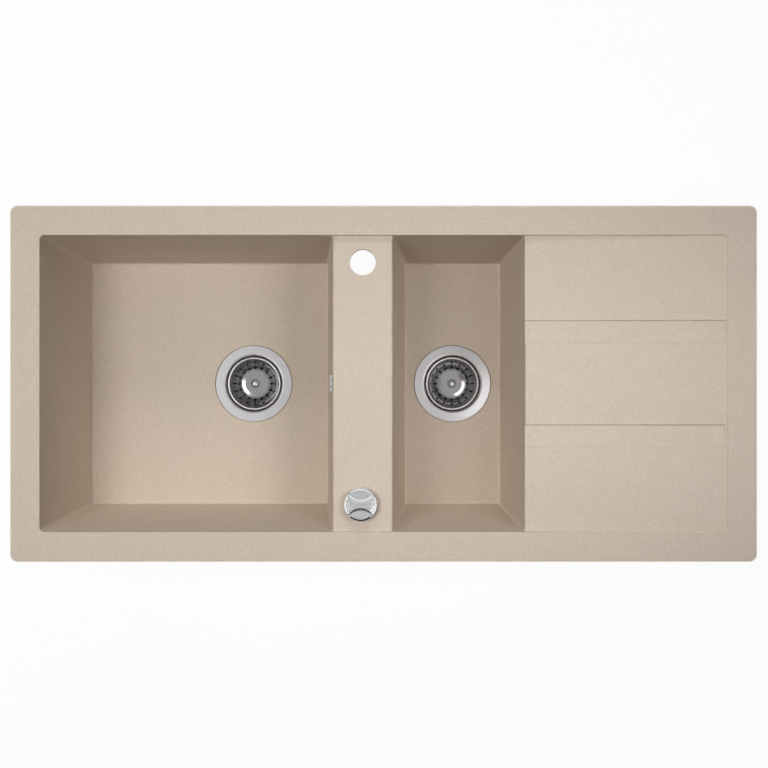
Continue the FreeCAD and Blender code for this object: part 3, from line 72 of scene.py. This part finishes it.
# Camera: straight above the sink, as far off as the leaning bowl walls show
CAMERA_X = 0.0006
CAMERA_Y = -0.0006
CAMERA_ABOVE_RIM = 1.413
LENS_MM = 49.54
SENSOR_MM = 36.0

camera_data = bpy.data.cameras.new("camera")
camera_data.lens = LENS_MM
camera_data.sensor_width = SENSOR_MM
camera = bpy.data.objects.new("camera", camera_data)
camera.location = (CAMERA_X, CAMERA_Y, RIM_TOP + CAMERA_ABOVE_RIM)
bpy.context.scene.collection.objects.link(camera)
bpy.context.scene.camera = camera
bpy.context.scene.view_settings.view_transform = "Standard"


# Pieces with detail that their solids leave out

SAME_POINT = 0.001 * MM
SAME_PLANE = math.radians(0.5)


def edit_all():
    """Opens the active piece for editing with all of it selected."""
    bpy.ops.object.mode_set(mode="EDIT")
    bpy.ops.mesh.select_all(action="SELECT")


def edit_points(piece, wanted):
    """Opens the active piece for editing with just those points selected whose place passes the test."""
    bpy.ops.object.mode_set(mode="EDIT")
    bpy.ops.mesh.select_mode(type="VERT")
    bpy.ops.mesh.select_all(action="DESELECT")
    bpy.ops.object.mode_set(mode="OBJECT")
    for point in piece.data.vertices:
        point.select = wanted(point.co)
    bpy.ops.object.mode_set(mode="EDIT")


def end_edit():
    bpy.ops.object.mode_set(mode="OBJECT")


def shade_smooth(sharper_than):
    """Shades the active piece smooth, apart from edges sharper than this many degrees."""
    bpy.ops.object.shade_smooth_by_angle(angle=math.radians(sharper_than))


def start_from(node_name, piece_name):
    """A new piece with a node's shape, its loose triangles merged, active and selected by itself."""
    bpy.ops.object.select_all(action="DESELECT")
    piece = bpy.data.objects.new(piece_name, nodes[node_name].data.copy())
    bpy.context.scene.collection.objects.link(piece)
    piece.select_set(True)
    bpy.context.view_layer.objects.active = piece
    if piece.data.has_custom_normals:
        bpy.ops.mesh.customdata_custom_splitnormals_clear()
    edit_all()
    bpy.ops.mesh.remove_doubles(threshold=SAME_POINT)
    end_edit()
    return piece


def distance_from(axis, place):
    """How far a place is from an upright axis."""
    return math.hypot(place.x - axis.x, place.y - axis.y)


def soften_edges(piece, width, sharper_than):
    """Rounds a piece's sharp edges over with two facets."""
    edit_all()
    bpy.ops.mesh.dissolve_limited(angle_limit=SAME_PLANE)
    end_edit()
    bpy.ops.object.modifier_add(type="BEVEL")
    bevel = piece.modifiers[-1]
    bevel.width = width
    bevel.segments = 2
    bevel.limit_method = "ANGLE"
    bevel.angle_limit = math.radians(sharper_than)
    bpy.ops.object.modifier_apply(modifier=bevel.name)
    # faces that the rounding has squeezed to a line go
    edit_all()
    bpy.ops.mesh.dissolve_degenerate(threshold=2 * SAME_POINT)
    end_edit()
    shade_smooth(sharper_than=35.0)


def thread_ridge(piece_name, axis, low, high, crest, depth, pitch):
    """The ridge of a thread round an upright axis, turn after turn from low to high, with a flat crest."""
    foot_width = 0.8 * pitch
    crest_share = 0.3
    steps_in_turn = 48
    # the ridge's foot is sunk a little into the tube that carries it
    sunk = 0.2 * MM
    bpy.ops.object.select_all(action="DESELECT")
    bpy.ops.mesh.primitive_plane_add(size=1.0, rotation=(math.pi / 2, 0.0, 0.0))
    ridge = bpy.context.object
    ridge.name = piece_name
    ridge.scale = (depth + sunk, foot_width, 1.0)
    bpy.ops.object.transform_apply(location=False, rotation=True, scale=True)
    edit_points(ridge, lambda place: place.x > 0)
    bpy.ops.transform.resize(value=(1.0, 1.0, crest_share), center_override=(0.0, 0.0, 0.0))
    bpy.ops.mesh.select_all(action="SELECT")
    bpy.ops.transform.translate(value=(crest - (depth + sunk) / 2, 0.0, foot_width / 2))
    bpy.ops.mesh.delete(type="ONLY_FACE")
    end_edit()
    bpy.ops.object.modifier_add(type="SCREW")
    screw = ridge.modifiers[-1]
    screw.screw_offset = pitch
    screw.iterations = int((high - low) / pitch - 1)
    screw.steps = steps_in_turn
    screw.render_steps = steps_in_turn
    bpy.ops.object.modifier_apply(modifier=screw.name)
    # the thread's two ends are closed
    bpy.ops.object.mode_set(mode="EDIT")
    bpy.ops.mesh.select_all(action="DESELECT")
    bpy.ops.mesh.select_non_manifold()
    bpy.ops.mesh.fill_holes(sides=4)
    bpy.ops.mesh.select_all(action="SELECT")
    bpy.ops.mesh.normals_make_consistent(inside=False)
    end_edit()
    ridge.location = (axis.x, axis.y, low)
    bpy.ops.object.transform_apply(location=True, rotation=False, scale=False)
    shade_smooth(sharper_than=25.0)
    return ridge


def thin_tube(piece, axis, low, high, outside, depth):
    """Draws in an upright tube's outer wall by a thread's depth, at its points from low to high."""
    height_slack, wall_slack = 0.1 * MM, 0.3 * MM

    def on_wall(place):
        in_height = low - height_slack < place.z < high + height_slack
        return in_height and abs(distance_from(axis, place) - outside) < wall_slack

    edit_points(piece, on_wall)
    inward = 1 - depth / outside
    bpy.ops.transform.resize(value=(inward, inward, 1.0), center_override=axis)
    end_edit()


def knob_with_sloping_edge():
    """Knob whose finger recesses slope down to its outer edge."""
    axis = middle_of("control_knob")
    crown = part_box("control_knob")[1].z
    recess_floor = crown - 3 * MM
    # the band that slopes: its outer and inner arc, how far the outer one comes down, and its ends along Y
    outer_arc, inner_arc, drop, arc_ends = 21.73 * MM, 19.5 * MM, 1 * MM, 14.6 * MM
    recess_start = 7 * MM
    height_slack, arc_slack = 0.02 * MM, 0.05 * MM
    lowered = recess_floor - drop

    def from_middle(place):
        return abs(place.y - axis.y)

    def on_floor(place):
        return abs(place.z - recess_floor) < height_slack and from_middle(place) > recess_start

    def on_arc(place):
        off_arc = abs(distance_from(axis, place) - outer_arc)
        return on_floor(place) and off_arc < arc_slack and from_middle(place) > arc_ends

    def outside_arc(place, ends):
        in_height = lowered - height_slack < place.z < recess_floor + height_slack
        return in_height and distance_from(axis, place) > outer_arc - arc_slack and from_middle(place) > ends

    knob = start_from("control_knob", "brushed_knob")
    edit_all()
    bpy.ops.mesh.dissolve_limited(angle_limit=SAME_PLANE)
    end_edit()
    # each recess gets a band along its outer arc, and a new floor inside that
    edit_points(knob, on_floor)
    bpy.ops.mesh.select_mode(type="FACE")
    bpy.ops.mesh.delete(type="ONLY_FACE")
    end_edit()
    edit_points(knob, on_arc)
    bpy.ops.mesh.extrude_edges_move()
    inward = inner_arc / outer_arc
    bpy.ops.transform.resize(value=(inward, inward, 1.0), center_override=axis)
    bpy.ops.mesh.select_all(action="SELECT")
    bpy.ops.mesh.fill_holes(sides=0)
    end_edit()
    # the band's outer edge comes down in steps from its ends, each keeping a share of the height that is left
    for ends, share in ((15.0 * MM, 0.75), (15.8 * MM, 0.67), (16.6 * MM, 0.5), (17.4 * MM, 0.0)):
        edit_points(knob, lambda place: outside_arc(place, ends))
        bpy.ops.transform.resize(value=(1.0, 1.0, share), center_override=(axis.x, axis.y, lowered))
        end_edit()
    edit_all()
    bpy.ops.mesh.dissolve_limited(angle_limit=SAME_PLANE)
    bpy.ops.mesh.dissolve_degenerate(threshold=5 * SAME_POINT)
    bpy.ops.mesh.normals_make_consistent(inside=False)
    end_edit()
    shade_smooth(sharper_than=20.0)
    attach(knob, "knob")
    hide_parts("control_knob")
    return knob


def threaded_waste_body(bowl):
    """Moulded waste body with the outlet thread that its trap screws onto."""
    axis = middle_of(f"{bowl}_flange")
    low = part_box(f"{bowl}_waste_body")[0].z
    crest, depth, pitch, length, lead_in = 23.9 * MM, 1.4 * MM, 2.31 * MM, 25 * MM, 1 * MM
    body = start_from(f"{bowl}_waste_body", f"{bowl}_moulded_body")
    thin_tube(body, axis, low, low + length, crest, depth)
    soften_edges(body, width=0.4 * MM, sharper_than=40.0)
    thread = thread_ridge(f"{bowl}_outlet_thread", axis, low + lead_in, low + length, crest, depth, pitch)
    for piece in (body, thread):
        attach(piece, "sink")
    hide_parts(f"{bowl}_waste_body")
    return body, thread


def threaded_sleeve():
    """Sleeve of the knob, with the thread that its lock nut runs on. The thread runs out towards its top."""
    axis = middle_of("knob_ring")
    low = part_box("control_sleeve")[0].z
    crest, depth, pitch, length, lead_in = 16.5 * MM, 0.9 * MM, 2 * MM, 47 * MM, 1 * MM
    sleeve = start_from("control_sleeve", "moulded_sleeve")
    # only the tube's lower end is drawn in, so that it tapers
    thin_tube(sleeve, axis, low, low, crest, depth)
    thread = thread_ridge("sleeve_thread", axis, low + lead_in, low + length, crest, depth, pitch)
    for piece in (sleeve, thread):
        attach(piece, "sink")
    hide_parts("control_sleeve")
    return sleeve, thread


brushed_knob = knob_with_sloping_edge()
grey_pieces = [piece for bowl in BOWLS for piece in threaded_waste_body(bowl)]
black_pieces = threaded_sleeve()


# Materials

def linear(hex_colour):
    """An sRGB hex colour such as "c5b6a9" as linear RGBA."""
    channels = [int(hex_colour[i:i + 2], 16) / 255 for i in (0, 2, 4)]
    return [c / 12.92 if c <= 0.04045 else ((c + 0.055) / 1.055) ** 2.4 for c in channels] + [1.0]


def add(tree, kind, inputs=None, **settings):
    """Adds a node, sets its properties, and fills its inputs with values or with other nodes' outputs."""
    made = tree.nodes.new(kind)
    for name, value in settings.items():
        setattr(made, name, value)
    for name, value in (inputs or {}).items():
        if isinstance(value, bpy.types.NodeSocket):
            tree.links.new(value, made.inputs[name])
        else:
            made.inputs[name].default_value = value
    return made


def colour_ramp(tree, pattern, stops, interpolation="LINEAR"):
    """The colours that a pattern gets from stops, which are (place, hex colour) pairs."""
    ramp = add(tree, "ShaderNodeValToRGB", {"Fac": pattern})
    ramp.color_ramp.interpolation = interpolation
    elements = ramp.color_ramp.elements
    while len(elements) < len(stops):
        elements.new(0.5)
    for element, (place, hex_colour) in zip(elements, stops):
        element.position = place
        element.color = linear(hex_colour)
    return ramp.outputs["Color"]


def spread(tree, pattern, low, high):
    """A pattern that runs from 0 to 1, made to run from low to high."""
    spread_out = add(tree, "ShaderNodeMapRange", {"Value": pattern, "To Min": low, "To Max": high})
    return spread_out.outputs["Result"]


def multiply(tree, first, second):
    """The product of two vectors or colours."""
    return add(tree, "ShaderNodeVectorMath", {0: first, 1: second}, operation="MULTIPLY").outputs["Vector"]


def noise(tree, place, scale, detail):
    """A soft random pattern in space."""
    return add(tree, "ShaderNodeTexNoise", {"Vector": place, "Scale": scale, "Detail": detail}).outputs["Fac"]


def empty_material(name):
    """A new material and its node tree, with nothing in it."""
    material = bpy.data.materials.new(name)
    material.use_nodes = True
    material.node_tree.nodes.clear()
    return material, material.node_tree


def start_material(name, metallic):
    """A new material with its node tree, its principled shader and the object coordinates."""
    material, tree = empty_material(name)
    shader = add(tree, "ShaderNodeBsdfPrincipled", {"Metallic": metallic})
    add(tree, "ShaderNodeOutputMaterial", {"Surface": shader.outputs["BSDF"]})
    place = add(tree, "ShaderNodeTexCoord").outputs["Object"]
    return material, tree, shader, place


def set_surface(tree, shader, colour, roughness, height, strength, distance):
    """Links a shader's colour and roughness, and a bump that a height pattern gives it."""
    bump = add(tree, "ShaderNodeBump", {"Height": height, "Strength": strength, "Distance": distance})
    tree.links.new(colour, shader.inputs["Base Color"])
    tree.links.new(roughness, shader.inputs["Roughness"])
    tree.links.new(bump.outputs["Normal"], shader.inputs["Normal"])


def granite_composite():
    """Quartz sand cast in tinted resin: matt and faintly pitted, with light and dark grains."""
    material, tree, shader, place = start_material("granite_composite", metallic=0.0)
    # grains of about 0.5 mm are drawn at 1.6 mm, so that they show from the camera
    grain, mottle, pit = 1.6 * MM, 28 * MM, 0.9 * MM
    cells = add(tree, "ShaderNodeTexVoronoi", {"Vector": place, "Scale": 1 / grain})
    tints = colour_ramp(tree, cells.outputs["Color"], [
        (0.0, "c0b09e"), (0.22, "c8b9a8"), (0.5, "cbbcac"), (0.78, "cec0b0"), (1.0, "d5c8b9")])
    clouds = noise(tree, place, 1 / mottle, detail=4.0)
    colour = multiply(tree, tints, spread(tree, clouds, 0.97, 1.03))
    pits = noise(tree, place, 1 / pit, detail=3.0)
    gloss = spread(tree, pits, 0.5, 0.75)
    set_surface(tree, shader, colour, gloss, pits, strength=0.25, distance=0.15 * MM)
    return material


def ring_pattern(tree, place, centre):
    """Fine rings round an upright axis, and the distance from that axis."""
    ring = 0.5 * MM
    centred = add(tree, "ShaderNodeMapping", {"Vector": place, "Location": (-centre.x, -centre.y, 0.0)})
    flat = multiply(tree, centred.outputs["Vector"], (1.0, 1.0, 0.0))
    radius = add(tree, "ShaderNodeVectorMath", {0: flat}, operation="LENGTH").outputs["Value"]
    rings = add(tree, "ShaderNodeTexNoise", {"W": radius, "Scale": 1 / ring, "Detail": 3.0},
                noise_dimensions="1D")
    return rings.outputs["Fac"], radius


def pressed_steel(name, centre):
    """Stainless steel pressed into a basket, polished on the disc. The well in the disc and the drawn wall
    are painted darker as shade, the rolled rim is painted bright as a highlight, and the rim is also rougher,
    rubbed dull by the hand that lifts it out."""
    material, tree, shader, place = start_material(name, metallic=1.0)
    rings, radius = ring_pattern(tree, place, centre)
    zones = add(tree, "ShaderNodeMapRange", {"Value": radius, "From Max": BASKET_RADIUS}).outputs["Result"]
    disc, wall, rim = 7.1 * MM / BASKET_RADIUS, 21.3 * MM / BASKET_RADIUS, 1 - 3 * MM / BASKET_RADIUS
    # painted shade in the well round the button and on the drawn wall, and a painted highlight on the rolled
    # rim; the disc keeps the steel's own tone
    tones_with_painted_light = colour_ramp(tree, zones, [
        (0.0, "8c8b8d"), (disc, "b3b2b4"), (wall, "a2a1a3"), (rim, "f0eff1")], interpolation="CONSTANT")
    colour = multiply(tree, tones_with_painted_light, spread(tree, rings, 0.9, 1.1))
    rim_dullness = 0.3
    on_rim = add(tree, "ShaderNodeMath", {0: zones, 1: rim}, operation="GREATER_THAN").outputs["Value"]
    gloss = spread(tree, rings, 0.08, 0.2)
    dulled = add(tree, "ShaderNodeMath", {0: on_rim, 1: rim_dullness, 2: gloss}, operation="MULTIPLY_ADD")
    set_surface(tree, shader, colour, dulled.outputs["Value"], rings, strength=0.15, distance=0.02 * MM)
    return material


def turned_steel(name, centre, dark, light, roughness):
    """Stainless steel ground in circles round its centre: satin, with fine rings."""
    material, tree, shader, place = start_material(name, metallic=1.0)
    rings, _ = ring_pattern(tree, place, centre)
    colour = colour_ramp(tree, rings, [(0.25, dark), (0.75, light)])
    gloss = spread(tree, rings, roughness - 0.06, roughness + 0.06)
    set_surface(tree, shader, colour, gloss, rings, strength=0.15, distance=0.02 * MM)
    return material


def brushed_chrome(name, centre):
    """Chrome plate over a die casting, brushed along X: pale grey, with fine straight streaks."""
    material, tree, shader, place = start_material(name, metallic=1.0)
    streak_length, streak_width = 40 * MM, 0.7 * MM
    centred = add(tree, "ShaderNodeMapping", {"Vector": place, "Location": -centre})
    stretch = (1 / streak_length, 1 / streak_width, 1 / streak_width)
    stretched = multiply(tree, centred.outputs["Vector"], stretch)
    streaks = noise(tree, stretched, 1.0, detail=4.0)
    colour = colour_ramp(tree, streaks, [(0.3, "d2d2d3"), (0.7, "eeeeef")])
    gloss = spread(tree, streaks, 0.16, 0.28)
    set_surface(tree, shader, colour, gloss, streaks, strength=0.12, distance=0.03 * MM)
    return material


def plain_surface(name, dark, light, roughness, patch, bump_height, metallic=0.0):
    """A material whose colour and gloss drift a little from patch to patch, over a fine bumpy surface."""
    material, tree, shader, place = start_material(name, metallic)
    drift = noise(tree, place, 1 / patch, detail=5.0)
    colour = colour_ramp(tree, drift, [(0.3, dark), (0.7, light)])
    gloss = spread(tree, drift, roughness - 0.05, roughness + 0.05)
    bumps = noise(tree, place, 8 / patch, detail=2.0)
    set_surface(tree, shader, colour, gloss, bumps, strength=0.2, distance=bump_height)
    return material


rubber = plain_surface("black_rubber", "1a1a1b", "252526", roughness=0.7, patch=6 * MM, bump_height=0.05 * MM)
grey_plastic = plain_surface("grey_polypropylene", "c9c9c6", "d2d2cf", roughness=0.42, patch=12 * MM,
                             bump_height=0.03 * MM)
black_plastic = plain_surface("black_nylon", "1d1d1e", "272729", roughness=0.45, patch=9 * MM,
                              bump_height=0.04 * MM)
chrome = plain_surface("satin_chrome", "e2e2e3", "eeeeef", roughness=0.25, patch=8 * MM,
                       bump_height=0.01 * MM, metallic=1.0)
brass = plain_surface("turned_brass", "c39a52", "d3ab62", roughness=0.28, patch=4 * MM,
                      bump_height=0.01 * MM, metallic=1.0)
screw_steel = plain_surface("screw_steel", "b9b9ba", "c8c8c9", roughness=0.25, patch=3 * MM,
                            bump_height=0.01 * MM, metallic=1.0)

finishes = {"sink_body": granite_composite(), "control_knob": chrome, "knob_ring": chrome,
            "overflow_cover": chrome, "overflow_screw": screw_steel, "lift_pin": brass,
            "overflow_elbow": grey_plastic, "overflow_pipe": grey_plastic}
for bowl in BOWLS:
    drain = middle_of(f"{bowl}_flange")
    finishes[f"{bowl}_flange"] = turned_steel(f"{bowl}_ground_steel", drain, "cac9cb", "d6d5d7",
                                              roughness=0.45)
    finishes[f"{bowl}_basket"] = pressed_steel(f"{bowl}_pressed_steel", drain)
    finishes[f"{bowl}_bolt"] = screw_steel
    finishes[f"{bowl}_basket_stem"] = chrome
    finishes[f"{bowl}_waste_body"] = grey_plastic


def coat(piece, material):
    piece.data.materials.clear()
    piece.data.materials.append(material)


for name, node in nodes.items():
    if name.endswith(("_seal", "_washer")):
        coat(node, rubber)
    else:
        coat(node, finishes.get(name, black_plastic))
coat(brushed_knob, brushed_chrome("brushed_chrome", middle_of("control_knob")))
for piece in grey_pieces:
    coat(piece, grey_plastic)
for piece in black_pieces:
    coat(piece, black_plastic)


# Stage: pale floor, white to the camera, and soft light from above and behind

def seen_ray(tree):
    """1 for rays from the camera, from shiny surfaces and through clear ones, and 0 for the rest."""
    path = add(tree, "ShaderNodeLightPath")
    seen = path.outputs["Is Camera Ray"]
    for kind in ("Is Glossy Ray", "Is Transmission Ray"):
        either = add(tree, "ShaderNodeMath", {0: seen, 1: path.outputs[kind]}, operation="MAXIMUM")
        seen = either.outputs["Value"]
    return seen


def stage_floor(size, whiteness):
    """A pale floor under the sink. Rays that see it find it white, with a trace of the sink's shadow."""
    bpy.ops.object.select_all(action="DESELECT")
    bpy.ops.mesh.primitive_plane_add(size=size, location=(0.0, 0.0, LOWEST))
    floor = bpy.context.object
    floor.name = "floor"
    material, tree = empty_material("pale_floor")
    lit = add(tree, "ShaderNodeBsdfDiffuse", {"Color": linear("f4f4f4")}).outputs["BSDF"]
    glow = add(tree, "ShaderNodeEmission", {"Color": linear("ffffff"), "Strength": 1.0}).outputs["Emission"]
    veil = add(tree, "ShaderNodeMixShader", {"Fac": whiteness, 1: lit, 2: glow}).outputs["Shader"]
    mixed = add(tree, "ShaderNodeMixShader", {"Fac": seen_ray(tree), 1: lit, 2: veil})
    add(tree, "ShaderNodeOutputMaterial", {"Surface": mixed.outputs["Shader"]})
    floor.data.materials.append(material)


def stage_world(fill):
    """A white world to rays that see it, which lights the sink with no more than a weak fill."""
    world = bpy.data.worlds.new("studio")
    bpy.context.scene.world = world
    world.use_nodes = True
    tree = world.node_tree
    tree.nodes.clear()
    strength = spread(tree, seen_ray(tree), fill, 1.0)
    sky = add(tree, "ShaderNodeBackground", {"Color": linear("ffffff"), "Strength": strength})
    add(tree, "ShaderNodeOutputWorld", {"Surface": sky.outputs["Background"]})


def aim_from(thing, place, aim):
    """Puts a lamp or a card at a place and turns its face to where it is aimed."""
    thing.location = place
    thing.rotation_mode = "QUATERNION"
    thing.rotation_quaternion = (Vector(aim) - Vector(place)).to_track_quat("-Z", "Y")


def soft_lamp(name, place, aim, width, depth, watts, spread_angle=180.0):
    """A rectangular soft box that leaves no reflection of its own. A small spread makes a narrow beam."""
    data = bpy.data.lights.new(name, "AREA")
    data.shape = "RECTANGLE"
    data.size = width
    data.size_y = depth
    data.energy = watts
    data.spread = math.radians(spread_angle)
    lamp = bpy.data.objects.new(name, data)
    aim_from(lamp, place, aim)
    lamp.visible_camera = False
    lamp.visible_glossy = False
    bpy.context.scene.collection.objects.link(lamp)


def mirror_card(name, place, aim, width, depth, grey="ffffff", strength=1.0):
    """A card that only shiny surfaces see: it gives the metal its lights and darks."""
    bpy.ops.object.select_all(action="DESELECT")
    bpy.ops.mesh.primitive_plane_add(size=1.0)
    card = bpy.context.object
    card.name = name
    card.scale = (width, depth, 1.0)
    aim_from(card, place, aim)
    card.visible_camera = False
    card.visible_diffuse = False
    card.visible_transmission = False
    card.visible_shadow = False
    material, tree = empty_material(name)
    glow = add(tree, "ShaderNodeEmission", {"Color": linear(grey), "Strength": strength}).outputs["Emission"]
    clear = add(tree, "ShaderNodeBsdfTransparent").outputs["BSDF"]
    # a plane's back is the side that aim_from turns to the sink, and only that side shows
    aimed_side = add(tree, "ShaderNodeNewGeometry").outputs["Backfacing"]
    one_sided = add(tree, "ShaderNodeMixShader", {"Fac": aimed_side, 1: clear, 2: glow})
    add(tree, "ShaderNodeOutputMaterial", {"Surface": one_sided.outputs["Shader"]})
    card.data.materials.append(material)


BOWL_MIDDLE = (0.0, 0.0, -0.1)
LOW_LAMP_HEIGHT = LOWEST + 0.12
small_drain = middle_of("small_flange")

stage_floor(size=12.0, whiteness=0.94)
stage_world(fill=0.04)
soft_lamp("back_lamp", (0.0, 4.0, 2.8), BOWL_MIDDLE, width=3.5, depth=1.5, watts=78.0)
soft_lamp("high_lamp", (-0.8, 0.0, 1.9), (-0.1, 0.0, 0.0), width=0.7, depth=0.7, watts=15.5)
soft_lamp("large_bowl_lamp", (-0.5, 0.0, 1.35), (-0.15, 0.0, -0.1), width=0.5, depth=0.5, watts=3.2)
soft_lamp("small_bowl_lamp", (0.8, 0.0, 1.4), (0.06, 0.0, -0.1), width=0.3, depth=0.7, watts=0.62,
          spread_angle=40.0)
soft_lamp("left_lamp", (-1.7, 0.0, 1.3), BOWL_MIDDLE, width=0.8, depth=0.8, watts=0.5)
soft_lamp("right_lamp", (1.7, 0.0, 1.3), BOWL_MIDDLE, width=0.8, depth=0.8, watts=0.8)
# lamps below the rim, for the outside of the bowls and what hangs under them
for name, x, y, width in (("low_front_lamp", 0.0, -2.2, 2.6), ("low_back_lamp", 0.0, 2.2, 2.6),
                          ("low_left_lamp", -2.4, 0.0, 1.6), ("low_right_lamp", 2.4, 0.0, 1.6)):
    soft_lamp(name, (x, y, LOW_LAMP_HEIGHT), BOWL_MIDDLE, width=width, depth=0.22, watts=26.0)
mirror_card("ceiling_card", (0.0, 0.0, 1.95), (0.0, 0.0, 0.0), width=3.4, depth=2.6, grey="cccccc")
mirror_card("left_strip", (-1.1, -0.35, 1.3), (-0.2, 0.0, -0.2), width=1.5, depth=0.35, strength=5.0)
mirror_card("right_strip", (0.86, -0.3, 1.3), (0.1, 0.0, -0.2), width=1.4, depth=0.35, strength=5.0)
mirror_card("back_strip", (0.0, 2.2, 1.3), BOWL_MIDDLE, width=2.4, depth=0.8, strength=0.72)
mirror_card("front_card", (0.0, -1.4, 0.7), BOWL_MIDDLE, width=3.4, depth=1.4, grey="202020")
mirror_card("right_card", (1.7, -0.1, 0.55), BOWL_MIDDLE, width=2.6, depth=1.1, grey="202020")
# the small basket lies too deep to mirror the strip beside it, so a card in its bowl gives it a crescent
mirror_card("small_crescent_card", (small_drain.x + 0.053, small_drain.y - 0.027, -0.1),
            (small_drain.x, small_drain.y, -0.2), width=0.09, depth=0.042, strength=2.5)
